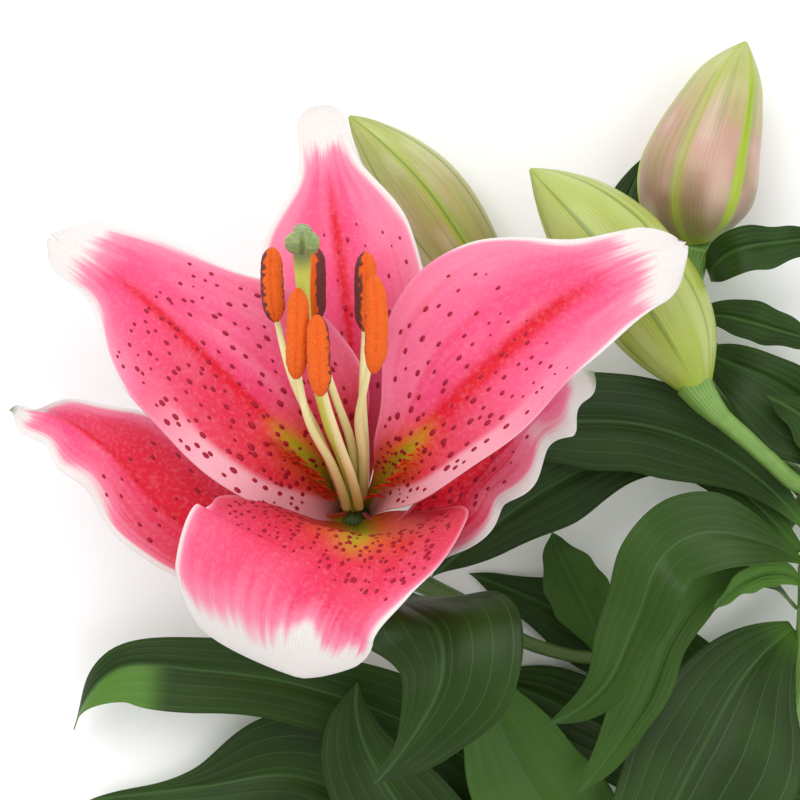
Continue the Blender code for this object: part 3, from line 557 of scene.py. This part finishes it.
def add_sheet(name, sheet, thickness, upper_tint, lower_tint, finish):
    """A closed skin round a sheet: its points moved half the wall to either side."""
    rows, columns = sheet.s.shape
    move = sheet.normals * sheet.wall(thickness)[..., None] / 2
    points = np.concatenate([sheet.points + move, sheet.points - move])
    quads = grid_faces(rows, columns)
    numbers = np.arange(rows * columns).reshape(rows, columns)
    edge = np.concatenate([numbers[0, :-1], numbers[:-1, -1], numbers[-1, :0:-1],
                           numbers[:0:-1, 0]])
    after, below = np.roll(edge, -1), rows * columns
    rim = np.stack([edge, edge + below, after + below, after], axis=1)
    faces = [quads, quads[:, ::-1] + below, rim]
    places = np.stack([(sheet.v + 1) / 2, sheet.s], axis=-1).reshape(-1, 2)
    places = np.concatenate([places, places])
    uv = [places[part] for part in faces]
    tint = np.concatenate([upper_tint.reshape(-1, 3), lower_tint.reshape(-1, 3)])
    return add_mesh(name, points, faces, uv, tint, finish)


def ring_faces(count, around):
    """Quads between rings of points, and triangles that fill both ends.

    The middles of the first and the last ring are numbered after all the rings."""
    row = np.arange(around)
    nxt = (row + 1) % around
    down = np.arange(count - 1)[:, None] * around
    first, second = (down + row).ravel(), (down + nxt).ravel()
    start, last = 0 * row + count * around, (count - 1) * around
    caps = np.concatenate([np.stack([start, nxt, row], axis=1),
                           np.stack([start + 1, last + row, last + nxt], axis=1)])
    return np.stack([first, second, second + around, first + around], axis=1), caps


def add_tube(name, rings, tint, finish):
    """A closed skin over rings of points. tint has one colour a point."""
    count, around = rings.shape[:2]
    ends = [rings[0].mean(0)[None], rings[-1].mean(0)[None]]
    points = np.concatenate([rings.reshape(-1, 3), *ends])
    tint = np.concatenate([tint.reshape(-1, 3), tint[0].mean(0)[None], tint[-1].mean(0)[None]])
    row = np.arange(around)
    low = np.stack([np.tile(row / around, count - 1),
                    np.repeat(np.arange(count - 1) / (count - 1), around)], axis=1)
    sides = low[:, None] + np.array([[0, 0], [1, 0], [1, 1], [0, 1]]) / (around, count - 1)
    u = (row[:, None] + [0.5, 0, 1]) / around
    caps = np.concatenate([np.stack([u, np.full_like(u, end)], axis=-1) for end in (0, 1)])
    return add_mesh(name, points, ring_faces(count, around), [sides, caps], tint, finish)


def thinned(radii, s):
    """The radii, which are spread evenly over a path, in between at s."""
    return np.interp(s, np.linspace(0, 1, len(radii)), radii)


def rings_along(path, radii, angles):
    """Rings round a smooth path: radii is a grid of millimetres, one row for each ring.

    Angle 0 is level, to the right of the way the path runs, and 90 degrees is its upper side."""
    middle, along = smooth_path(path, len(radii))
    side = unit(np.cross(along, (0, 0, 1)))
    upper = np.cross(side, along)
    turn = np.cos(angles)[None, :, None] * side[:, None]
    turn = turn + np.sin(angles)[None, :, None] * upper[:, None]
    return (middle[:, None] + radii[..., None] * turn) * MM


def nodes_of(name, roughness, **sockets):
    """A new material, its node tree, its shader, and the plain values set on the shader."""
    made = bpy.data.materials.new(name)
    made.use_nodes = True
    shader = made.node_tree.nodes["Principled BSDF"]
    shader.inputs["Roughness"].default_value = roughness
    for socket, value in sockets.items():
        shader.inputs[socket.replace("_", " ")].default_value = value
    return made, made.node_tree, shader


def node(tree, kind, **settings):
    made = tree.nodes.new(kind)
    for key, value in settings.items():
        if key in made.inputs:
            made.inputs[key].default_value = value
        else:
            setattr(made, key, value)
    return made


def tint_of(tree):
    return node(tree, "ShaderNodeVertexColor", layer_name="tint").outputs["Color"]


def lines_across(tree, count, wander):
    """A value that rises and falls count times across the UV map, with a little wander."""
    uv = node(tree, "ShaderNodeUVMap", uv_map="UVMap").outputs["UV"]
    wave = node(tree, "ShaderNodeTexWave", wave_type="BANDS", bands_direction="X",
                wave_profile="SIN", Scale=count * np.pi / 10, Distortion=wander,
                **{"Detail": 2.0, "Detail Scale": 1.0})
    tree.links.new(uv, wave.inputs["Vector"])
    return wave.outputs["Fac"]


def mix_colour(tree, a, b, share):
    """A mix of colour a with colour b; each is a socket or a plain colour."""
    mix = node(tree, "ShaderNodeMix", data_type="RGBA")
    for socket, value in (("A", a), ("B", b)):
        target = [one for one in mix.inputs if one.name == socket and one.type == "RGBA"][0]
        if isinstance(value, bpy.types.NodeSocket):
            tree.links.new(value, target)
        else:
            target.default_value = (*value, 1)
    tree.links.new(share, mix.inputs["Factor"])
    return [one for one in mix.outputs if one.type == "RGBA"][0]


def narrowed(tree, value, low, high, top=1.0):
    """The value mapped so that low gives 0 and high gives top, clamped."""
    step = node(tree, "ShaderNodeMapRange", **{"From Min": low, "From Max": high,
                                               "To Min": 0.0, "To Max": top})
    tree.links.new(value, step.inputs["Value"])
    return step.outputs["Result"]


def noise(tree, scale, detail=3.0):
    """Noise on object coordinates, with scale in cells for each metre."""
    place_ = node(tree, "ShaderNodeTexCoord").outputs["Object"]
    grain = node(tree, "ShaderNodeTexNoise", Scale=scale, Detail=detail)
    tree.links.new(place_, grain.inputs["Vector"])
    return grain.outputs["Fac"]


def bump(tree, shader, height, distance, strength=1.0, below=None):
    made = node(tree, "ShaderNodeBump", Distance=distance, Strength=strength)
    tree.links.new(height, made.inputs["Height"])
    if below:
        tree.links.new(below.outputs["Normal"], made.inputs["Normal"])
    tree.links.new(made.outputs["Normal"], shader.inputs["Normal"])
    return made


def lined_flesh(name, roughness, lines, paint, grain, ridges, flecks=None, **sockets):
    """Flesh with painted and raised lengthwise lines over a fine grain.

    lines: how many and how far they wander. paint: their colour and its share. grain: cells a
    metre, depth and strength. ridges: the lines' depth and strength. flecks: their colour."""
    made, tree, shader = nodes_of(name, roughness, **sockets)
    wave = lines_across(tree, *lines)
    body = tint_of(tree)
    if flecks:
        body = mix_colour(tree, body, flecks, narrowed(tree, noise(tree, 800), 0.48, 0.7, 0.13))
    body = mix_colour(tree, body, paint[0], narrowed(tree, wave, 0.5, 1, paint[1]))
    tree.links.new(body, shader.inputs["Base Color"])
    fine = bump(tree, shader, noise(tree, grain[0]), *grain[1:])
    bump(tree, shader, wave, *ridges, fine)
    return made


def petal_flesh():
    """Waxy petal with pale flecks and a little light inside."""
    return lined_flesh(
        "petal flesh", 0.5, (70, 2.5), ((0.5, 0.01, 0.06), 0.07), (900, 0.0003, 0.4),
        (0.00006, 0.5), (0.90, 0.38, 0.48), Subsurface_Weight=0.12, Subsurface_Scale=0.0015,
        Specular_IOR_Level=0.22, Subsurface_Radius=(1.0, 0.35, 0.4))


def stalk_skin():
    return lined_flesh(
        "stalk skin", 0.42, (26, 1.5), ((0.45, 0.55, 0.16), 0.25), (1200, 0.00015, 0.4),
        (0.0002, 0.5), Subsurface_Weight=0.08, Subsurface_Scale=0.002)


def bud_skin():
    return lined_flesh(
        "bud skin", 0.36, (84, 1.0), ((0.25, 0.33, 0.05), 0.1), (1000, 0.00015, 0.3),
        (0.00012, 0.4), Subsurface_Weight=0.12, Subsurface_Scale=0.002, Coat_Weight=0.1)


def spot_flesh():
    """Raised crimson spots and hairs, a little glossy."""
    made, tree, shader = nodes_of("spot flesh", 0.45, Specular_IOR_Level=0.3)
    tree.links.new(tint_of(tree), shader.inputs["Base Color"])
    return made


def leaf_skin(vein):
    """Glossy leaf: parallel veins that meet at the tip, and quilted flesh between them."""
    made, tree, shader = nodes_of("leaf skin", 0.34, Specular_IOR_Level=0.2)
    lines, fine = lines_across(tree, 8, 0.5), lines_across(tree, 90, 0.8)
    body = mix_colour(tree, tint_of(tree), vein, narrowed(tree, fine, 0.6, 1, 0.05))
    body = mix_colour(tree, body, vein, narrowed(tree, lines, 0.985, 0.999, 0.5))
    tree.links.new(body, shader.inputs["Base Color"])
    grain = bump(tree, shader, noise(tree, 1400), 0.0001, 0.3)
    soft = bump(tree, shader, fine, 0.00004, 0.5, grain)
    sunk = node(tree, "ShaderNodeMath", operation="MULTIPLY")
    sunk.inputs[1].default_value = -1.0
    tree.links.new(narrowed(tree, lines, 0.2, 0.99), sunk.inputs[0])
    bump(tree, shader, sunk.outputs["Value"], 0.0003, 0.35, soft)
    return made


def pollen_dust():
    """Rough powder: two sizes of grain, with painted shade that darkens the hollows of the finer
    grain.
    """
    made, tree, shader = nodes_of("pollen dust", 0.8)
    grain = noise(tree, 2600, 4.0)
    # painted shade: darker orange brown where the finer grain's bump is low
    body = mix_colour(tree, tint_of(tree), (0.45, 0.04, 0.002), narrowed(tree, grain, 0.5, 0.32, 0.35))
    tree.links.new(body, shader.inputs["Base Color"])
    coarse = bump(tree, shader, noise(tree, 900), 0.0005, 0.5)
    bump(tree, shader, grain, 0.0006, 0.9, coarse)
    return made


def pale_flesh():
    """Filaments, style and stigma: pale, waxy and slightly see-through."""
    made, tree, shader = nodes_of("pale flesh", 0.4, Subsurface_Weight=0.2,
                                  Subsurface_Scale=0.0015)
    tree.links.new(tint_of(tree), shader.inputs["Base Color"])
    bump(tree, shader, noise(tree, 1500), 0.0002, 0.4)
    return made


def tepal_tints(sheet, paint, colours, seed):
    """Colours of a tepal's inner and outer side: pink, red towards the base, crimson along the
    rib, painted crimson shade over the inner halves, yellow green in the nectary furrow, and
    white at the tip and the margins."""
    s, v, x = sheet.s, sheet.v, sheet.x
    off, left = np.abs(v), v < 0
    wobble = cloud(*s.shape, (14, 6), seed)
    streaks = cloud(*s.shape, (4, 52), seed + 1)
    patches = cloud(*s.shape, (9, 16), seed + 2)
    margin = sheet.margin()
    light = (0.15 + 0.5 * rise(off, 0.2, 0.95) + 0.12 * patches) * (1 - paint["flush"])
    reach = np.where(left, *paint["throat"])
    red = fall(s + 0.04 * wobble + 0.03 * streaks, reach * 0.4, reach * 1.25)
    mottle = (0.16 + 0.12 * patches) * rise(patches, -0.2, 1) * (1 - 0.6 * red)
    # painted shade: crimson darkens the inner halves where the tepals fold into shadow, by the paint's
    # left and right shade shares
    shade = np.where(left, *paint["shade"]) * fall(off, 0.45, 0.95)
    shade = shade * fall(s + 0.03 * streaks, reach * 0.8, reach * 1.3)
    wide = paint["rib_width"] * (0.62 - 0.32 * s)
    rib = paint["rib"] * (0.85 * hump(x, wide) + 0.22 * hump(x / wide, 2.6))
    rib *= rise(s, 0.1, 0.3) * fall(s, paint["rib_end"] - 0.2, paint["rib_end"])
    base = fall(s, paint["nectar"] * 0.8, paint["nectar"] * 1.25)
    furrow = paint.get("furrow", 2.1)
    width = np.where(left, *paint["white"]) * (1 + 0.45 * wobble + 0.25 * streaks)
    width = width * rise(s, paint["white_from"] - 0.15, paint["white_from"] + 0.2)
    white = fall(margin, 0.4 * width, 1.5 * width + 0.25) * rise(width, 0.05, 0.5)
    fade = 0.6 * fall(margin, width, 3.5 * width + 1.2) * rise(s, 0.1, 0.3)
    end = s + 0.02 * wobble + 0.022 * streaks + 0.03 * off
    end = end + paint.get("notch", 0) * hump(x, 5)
    tip = rise(end, paint["tip"] - 0.02, paint["tip"] + 0.035)
    fade = np.maximum(fade, 0.8 * rise(end, paint["tip"] - 0.09, paint["tip"]))
    band = np.where(left, *paint.get("band", (0, 0)))
    band = fall(margin, 0.7 * band, band + 0.6) * (band > 0) * fall(s, 0.4, 0.6)
    point = rise(s, 0.955, 0.995) * paint.get("green", 0)
    tint = coated(
        colours.pink, (colours.pale, light), (colours.throat, 0.93 * red),
        (colours.pale, mottle), (colours.crimson, shade), (colours.crimson, rib),
        (colours.crimson, 0.25 * rise(streaks, 0, 1) * fall(s, 0.5, 0.95)),
        (colours.glow, 0.9 * hump(x / furrow, 2.8) * base),
        (colours.nectar, 1.2 * hump(x, furrow) * base),
        (colours.pale, np.maximum(fade, 0.85 * band)), (colours.white, 0.3 * band),
        (colours.white, np.maximum(white, tip)), (colours.leaf_light, point))
    back = coated(
        colours.petal_back, (colours.white, 0.45 * rise(off, 0.2, 1) + 0.3 * s),
        (colours.leaf_back, 0.6 * hump(x, 1.6) * (1 - s)),
        # painted shade: throat red over the outer side near the base, which lies deep in the throat
        # between the tepals
        (colours.throat, 0.7 * fall(s, 0.08, 0.25)), (colours.leaf_light, point))
    return tint, back


def leaf_tints(sheet, shape, colours, seed):
    """Colours of a leaf's upper and lower side: paler along the rib and mottled softly."""
    cloudy = cloud(*sheet.s.shape, (9, 4), seed)
    fold = shape.get("fold", 2.0)
    upper = coated(
        colours.leaf, (colours.leaf_light, shape.get("light", 0.0) + 0.05 + 0.06 * cloudy),
        (colours.leaf_light, 0.9 * rise(sheet.s, fold, fold + 0.05) * (sheet.v < 0)),
        (colours.vein, 0.8 * hump(sheet.x, 0.5)),
        (colours.leaf_light, 0.5 * fall(sheet.s, 0, 0.12)))
    return upper, mixed(colours.leaf_back, colours.leaf_light, 0.3 + 0.3 * cloudy)


def scattered(count, along, across, seed):
    """Evenly scattered places: steps of two irrational fractions, shaken a little."""
    shake = np.random.default_rng(seed).uniform(-0.5, 0.5, (2, count))
    number = np.arange(count) + seed * 7.31
    s = np.mod(number * 0.7548777 + shake[0] * 0.06, 1)
    v = np.mod(number * 0.5698403 + shake[1] * 0.06, 1)
    return along[0] + (along[1] - along[0]) * s, across[0] + (across[1] - across[0]) * v


def add_studs(name, sheet, s, v, sizes, thickness, stand, lean, tint, finish):
    """Small closed ellipsoids on a sheet's upper skin, each a few dozen faces.

    sizes has a length along the sheet, a width across it and a height out of it for each
    stud, stand is the share of the height that its middle stands above the skin, and lean
    tips its top towards the sheet's tip."""
    rings, around = 4, 8
    polar = np.linspace(0, np.pi, rings + 2)[1:-1, None]
    turn = np.arange(around) / around * 2 * np.pi
    ball = np.stack([np.sin(polar) * np.cos(turn), np.sin(polar) * np.sin(turn),
                     np.cos(polar) + 0 * turn], axis=-1).reshape(-1, 3)
    ball = np.concatenate([ball, [[0, 0, 1], [0, 0, -1]]])
    quads, caps = ring_faces(rings, around)
    quads, caps = quads[:, [0, 3, 2, 1]], caps[:, [0, 2, 1]]
    i, j = sheet.at(s, v)
    up, forward = sheet.normals[i, j], sheet.forward[i, j]
    side = unit(np.cross(forward, up))
    forward = np.cross(up, side)
    local = ball[None] * sizes[:, None, :]
    local[..., 0] += lean * local[..., 2]
    lifted = sheet.wall(thickness)[i, j] / 2 + stand * sizes[:, 2]
    middle = sheet.points[i, j] + lifted[:, None] * up
    points = (middle[:, None] + local[..., :1] * forward[:, None]
              + local[..., 1:2] * side[:, None] + local[..., 2:] * up[:, None])
    shift = (np.arange(len(s)) * len(ball))[:, None, None]
    faces = [(quads[None] + shift).reshape(-1, 4), (caps[None] + shift).reshape(-1, 3)]
    uv = [np.zeros((*part.shape, 2)) for part in faces]
    colours = np.broadcast_to(tint, points.shape)
    return add_mesh(name, points, faces, uv, colours, finish)


def tepal_sheet(shape):
    return Sheet(shape, *TEPAL_GRID, tuck=1.5, groove=0.4)


class Grower:
    """What the growing operators share: grow is given the scene's sizes and colours."""

    def execute(self, context):
        self.grow(context.scene.lily_sizes, context.scene.lily_colours)
        return {"FINISHED"}


class LILY_OT_tepals(Grower, Operator):
    """Grow the three sepals and the three petals of the open flower"""
    bl_idname = "lily.tepals"
    bl_label = "Tepals"

    def grow(self, sizes, colours):
        finish = petal_flesh()
        for seed, (name, shape) in enumerate(TEPALS.items()):
            sheet = tepal_sheet(shape)
            inner, outer = tepal_tints(sheet, shape["paint"], colours, 10 * seed)
            piece = add_sheet(name + "_flesh", sheet, sizes.tepal_thickness, inner, outer, finish)
            place(piece, "petal", name)


class LILY_OT_spots(Grower, Operator):
    """Scatter raised spots over the tepals, and hairs beside their nectaries"""
    bl_idname = "lily.spots"
    bl_label = "Spots and hairs"

    def grow(self, sizes, colours):
        finish = spot_flesh()
        for seed, (name, shape) in enumerate(TEPALS.items()):
            sheet = tepal_sheet(shape)
            spots = shape["spots"]
            s, v = scattered(spots["count"], spots["along"], spots["across"], seed + 1)
            luck = np.random.default_rng(seed).uniform(0.5, 1.2, len(s)) * spots.get("size", 1.0)
            near = 1 - 0.35 * rise(s, 0.35, 0.7)
            long_ = sizes.spot_length / 2 * luck * near
            dims = np.stack([long_, long_ * 0.55, np.full(len(s), sizes.spot_height)], axis=1)
            piece = add_studs("spots_" + name, sheet, s, v, dims, sizes.tepal_thickness, 0.0, 0.2,
                              colours.spot, finish)
            place(piece, "petal")
            if "hairs" in shape:
                self.add_hairs(name, shape, sheet, sizes, colours, finish, seed)

    def add_hairs(self, name, shape, sheet, sizes, colours, finish, seed):
        """Slender studs in a ragged band along one side of the furrow."""
        count, edge = shape["hairs"]
        shake = np.random.default_rng(seed + 40).uniform(-1, 1, (3, count))
        s = 0.12 + 0.24 * np.arange(count) / count
        i, _ = sheet.at(s, 0 * s)
        half = sheet.half[i, 0 if edge < 0 else -1]
        v = edge * (3.4 + 1.6 * shake[0]) / np.maximum(half, 4)
        tall = sizes.hair_length * (0.75 + 0.3 * shake[1])
        dims = np.stack([tall * 0.13, tall * 0.1, tall], axis=1)
        piece = add_studs("hairs_" + name, sheet, s, v, dims, sizes.tepal_thickness, 0.8, 0.55,
                          colours.hair, finish)
        place(piece, "petal")


class LILY_OT_stamens(Grower, Operator):
    """Grow the six stamens: filaments and pollen-covered anthers"""
    bl_idname = "lily.stamens"
    bl_label = "Stamens"

    def grow(self, sizes, colours):
        pale, dust = pale_flesh(), pollen_dust()
        for number, (filament, anther, bare) in enumerate(STAMENS, start=1):
            self.add_filament(number, filament, sizes, colours, pale)
            self.add_anther(number, anther, bare, colours, dust)

    def add_filament(self, number, path, sizes, colours, finish):
        """A round tube, thinner towards its end, greener towards its foot."""
        s, a = ring_grid(*FILAMENT_GRID)
        radii = thinned(FILAMENT_RADII, s) * sizes.filament_girth / MM
        radii = radii * (1 + 0.06 * np.cos(2 * a))
        tint = mixed(colours.filament, colours.style, 0.35 * fall(s, 0, 0.5) + 0 * a)
        rings = rings_along(path, radii, a[0])
        piece = add_tube(f"filament_{number}_flesh", rings, tint, finish)
        place(piece, "style", f"filament_{number}")

    def add_anther(self, number, path, bare, colours, finish):
        """Two swollen pollen sacs side by side: the outline times 1 + 0.1 cos 2a, less a groove
        along the top, plus the grain of the pollen. Bare flesh shows at the sides and below."""
        s, a = ring_grid(*ANTHER_GRID)
        off_top = np.arctan2(np.sin(a - np.pi / 2), np.cos(a - np.pi / 2))
        shape = eased(*zip(*ANTHER_OUTLINE), s)
        grain = np.random.default_rng(number).uniform(-1, 1, ANTHER_GRID)
        lumps = cloud(*ANTHER_GRID, (24, 16), number)
        radii = ANTHER_RADIUS * shape * (1 + 0.1 * np.cos(2 * a) - 0.2 * hump(off_top, 0.22))
        radii = radii + 0.045 * grain + 0.1 * lumps * shape
        left, right = bare
        leftward = rise(-np.cos(a) + 0.25 * lumps, 1.15 - left, 1.35 - left)
        rightward = rise(np.cos(a) + 0.25 * lumps, 1.15 - right, 1.35 - right)
        under = rise(-np.sin(a) + 0.1 * lumps, 0.75, 0.95)
        flesh = np.maximum(leftward * (left > 0), rightward * (right > 0))
        tint = mixed(colours.pollen, colours.anther_back, np.maximum(flesh, under) + 0 * s)
        rings = rings_along(path, radii, a[0])
        piece = add_tube(f"anther_{number}_dusted", rings, tint, finish)
        place(piece, "pollen", f"anther_{number}")


class LILY_OT_pistil(Grower, Operator):
    """Grow the style and the three-lobed stigma"""
    bl_idname = "lily.pistil"
    bl_label = "Style and stigma"

    def grow(self, sizes, colours):
        finish = pale_flesh()
        s, a = ring_grid(*STYLE_GRID)
        radii = thinned(STYLE["radii"], s) * (1 + 0.05 * np.cos(3 * a))
        tint = mixed(colours.style, colours.stigma, rise(s, 0.9, 1) + 0 * a)
        piece = add_tube("style_flesh", rings_along(STYLE["path"], radii, a[0]), tint, finish)
        place(piece, "style", "style")
        s, a = ring_grid(*STIGMA_GRID)
        lobes = 1 + 0.18 * np.cos(3 * (a - 0.5)) - 0.26 * rise(-np.cos(3 * (a - 0.5)), 0.7, 1)
        radii = STIGMA["radius"] * eased(*zip(*STIGMA["outline"]), s) * lobes
        radii = radii + 0.12 * cloud(*STIGMA_GRID, (18, 30), 5)
        pores = rise(cloud(*STIGMA_GRID, (18, 30), 6), 0, 1)
        tint = mixed(colours.stigma, colours.style, 0.3 * pores)
        piece = add_tube("stigma_flesh", rings_along(STIGMA["path"], radii, a[0]), tint, finish)
        place(piece, "style", "stigma")


class LILY_OT_buds(Grower, Operator):
    """Grow the three closed buds"""
    bl_idname = "lily.buds"
    bl_label = "Buds"

    def grow(self, sizes, colours):
        finish = bud_skin()
        for seed, (name, bud) in enumerate(BUDS.items()):
            rings, tint = self.grown(bud, colours, seed)
            place(add_tube(name + "_skin", rings, tint, finish), "bud", name)

    def grown(self, bud, colours, seed):
        """Three sepals folded edge to edge: the radius swells by 1 + 0.04 cos 3a, a rib stands
        up along the middle of each sepal, and a narrow seam runs between neighbours."""
        s, a = ring_grid(*BUD_GRID)
        third = np.mod(a - np.radians(bud["turn"]) + np.pi / 3, 2 * np.pi / 3) - np.pi / 3
        off_rib, off_seam = np.abs(third), np.abs(third) - np.pi / 3
        swell = np.sin(np.pi * np.clip(s, 0, 1))**0.5
        ridge = 0.022 * hump(third, 0.12) - 0.03 * hump(off_seam, 0.05)
        shape = 1 + 0.035 * np.cos(3 * third) + swell * ridge
        shape = shape + 0.006 * cloud(*BUD_GRID, (10, 12), seed)
        radii = bud["radius"] * eased(*zip(*bud["outline"]), s) * shape
        cloudy = cloud(*BUD_GRID, (8, 14), seed + 3)
        flush = bud["flush"] * (0.8 + 0.35 * cloudy) * rise(s, 0.02, 0.2)
        green = np.maximum(fall(off_rib, 0.06, 0.15), 0.6 * hump(off_seam, 0.1)) * bud["rib"]
        line = hump(third, 0.035) + hump(off_seam, 0.03)
        tint = coated(
            colours.bud, (colours.bud_pink, flush * (1 - 0.75 * rise(s, 0.55, 0.85))),
            (colours.bud_shade, 0.75 * bud["flush"] * fall(s + 0.08 * cloudy, 0.1, 0.42)),
            (colours.pith, 0.3 * rise(cloudy, -0.2, 1) + 0.2 * rise(s, 0.4, 0.8)),
            (colours.bud_rib, green),
            (colours.bud_rib, 0.6 * fall(s, 0, 0.08) + 0.5 * rise(s, 0.93, 1) + 0 * a),
            (colours.leaf_light, 0.3 * rise(cloud(*BUD_GRID, (3, 84), seed + 9), 0, 1)),
            (colours.leaf, 0.6 * bud["line"] * line * rise(s, 0.05, 0.2)))
        return rings_along(bud["path"], radii, a[0]), tint


class LILY_OT_stalks(Grower, Operator):
    """Grow the cut stem and the stalks of the flower and the buds"""
    bl_idname = "lily.stalks"
    bl_label = "Stem and stalks"

    def grow(self, sizes, colours):
        finish = stalk_skin()
        for seed, (name, stalk) in enumerate(STALKS.items()):
            rings, tint = self.grown(name, stalk, colours, seed)
            place(add_tube(name + "_skin", rings, tint, finish), "stem", name)

    def grown(self, name, stalk, colours, seed):
        """A tube with low ridges. Flat rings inside the first one close the stem's cut end,
        where the pith shows."""
        s, a = ring_grid(*STALK_GRID)
        radii = thinned(stalk["radii"], s) * (1 + 0.035 * np.cos(stalk.get("ridges", 5) * a + 2 * s))
        radii = radii + 0.06 * cloud(*STALK_GRID, (30, 6), seed)
        tint = coated(
            colours.stem, (colours.leaf_light, 0.35 + 0.3 * cloud(*STALK_GRID, (26, 5), seed)),
            # painted shade: a stalk lying under the leaves and the flower is darkened towards leaf
            # green
            (colours.leaf, stalk.get("painted_shade", 0)))
        rings = rings_along(stalk["path"], radii, a[0])
        if name != "stem":
            return rings, tint
        closing = np.linspace(0.05, 0.97, 8)[:, None, None]
        middle = rings[0].mean(0)
        disc = middle + (rings[0] - middle) * closing
        ringed = mixed(colours.pith, colours.stem, rise(closing[..., 0], 0.75, 1) + 0 * a)
        return np.concatenate([disc, rings]), np.concatenate([ringed, tint])


class LILY_OT_leaves(Grower, Operator):
    """Grow the leaves along the stem and the bracts on the stalks"""
    bl_idname = "lily.leaves"
    bl_label = "Leaves and bracts"

    def grow(self, sizes, colours):
        finish = leaf_skin(colours.vein)
        for seed, (name, shape) in enumerate(LEAVES.items()):
            sheet = Sheet(shape, *LEAF_GRID, tuck=2.0, groove=0.5, crease=0.05)
            upper, lower = leaf_tints(sheet, shape, colours, seed + 60)
            piece = add_sheet(name + "_blade", sheet, sizes.leaf_thickness, upper, lower, finish)
            place(piece, "leaf", name)


class LILY_OT_stage(Operator):
    """Lay the surface and set up the soft lights and the camera above it"""
    bl_idname = "lily.stage"
    bl_label = "Stage"

    def execute(self, context):
        stage = context.scene.lily_stage
        self.add_floor(stage)
        self.add_light("soft_box_key", (-0.55, 0.95, 1.25), 1.3, stage.key_power)
        self.add_light("soft_box_fill", (0.95, -0.25, 1.15), 1.5, stage.fill_power)
        self.add_sky(context, stage)
        self.add_camera(context, stage)
        context.scene.view_settings.view_transform = "Standard"
        return {"FINISHED"}

    def add_floor(self, stage):
        ends = (-FLOOR_REACH, FLOOR_REACH)
        mesh = bpy.data.meshes.new("surface")
        mesh.from_pydata([(x, y, 0) for y in ends for x in ends], [], [(0, 1, 3, 2)])
        mesh.materials.append(nodes_of("surface", 0.7, Base_Color=(*stage.floor, 1))[0])
        floor = bpy.data.objects.new("surface", mesh)
        bpy.context.scene.collection.objects.link(floor)

    def add_light(self, name, where, size, power):
        """A square soft box that faces the middle of the spray."""
        light = bpy.data.lights.new(name, "AREA")
        light.size = size
        light.energy = power
        box = bpy.data.objects.new(name, light)
        box.location = where
        away = -np.array(where)
        level = np.hypot(away[0], away[1])
        box.rotation_euler = (np.arctan2(level, -away[2]), 0, np.arctan2(-away[0], away[1]))
        bpy.context.scene.collection.objects.link(box)

    def add_sky(self, context, stage):
        world = bpy.data.worlds.new("room")
        world.use_nodes = True
        back = world.node_tree.nodes["Background"]
        back.inputs["Color"].default_value = (1, 1, 1, 1)
        back.inputs["Strength"].default_value = stage.sky
        context.scene.world = world

    def add_camera(self, context, stage):
        """The camera looks straight down on the flower's side of the spray."""
        camera = bpy.data.cameras.new("camera")
        camera.sensor_width = SENSOR_WIDTH
        camera.lens = stage.lens
        eye = bpy.data.objects.new("camera", camera)
        eye.location = (*EYE, stage.camera_height)
        context.scene.collection.objects.link(eye)
        context.scene.camera = eye


class LILY_PT_panel(Panel):
    """Sizes, colours and buttons for each part of the lily"""
    bl_label = "Lily"
    bl_idname = "LILY_PT_panel"
    bl_space_type = "VIEW_3D"
    bl_region_type = "UI"
    bl_category = "Lily"

    def draw(self, context):
        scene = context.scene
        for group in (scene.lily_sizes, scene.lily_colours, scene.lily_stage):
            column = self.layout.column()
            for key in group.__annotations__:
                column.prop(group, key)
        for operator in OPERATORS:
            self.layout.operator(operator.bl_idname)


OPERATORS = (LILY_OT_tepals, LILY_OT_spots, LILY_OT_stamens, LILY_OT_pistil, LILY_OT_buds,
             LILY_OT_stalks, LILY_OT_leaves, LILY_OT_stage)
CLASSES = (LilySizes, LilyColours, LilyStage, *OPERATORS, LILY_PT_panel)


def register():
    for cls in CLASSES:
        bpy.utils.register_class(cls)
    bpy.types.Scene.lily_sizes = PointerProperty(type=LilySizes)
    bpy.types.Scene.lily_colours = PointerProperty(type=LilyColours)
    bpy.types.Scene.lily_stage = PointerProperty(type=LilyStage)


def unregister():
    del bpy.types.Scene.lily_stage
    del bpy.types.Scene.lily_colours
    del bpy.types.Scene.lily_sizes
    for cls in reversed(CLASSES):
        bpy.utils.unregister_class(cls)


def main():
    register()
    bpy.ops.lily.tepals()
    bpy.ops.lily.spots()
    bpy.ops.lily.stamens()
    bpy.ops.lily.pistil()
    bpy.ops.lily.buds()
    bpy.ops.lily.stalks()
    bpy.ops.lily.leaves()
    bpy.ops.lily.stage()


if __name__ == "__main__":
    main()
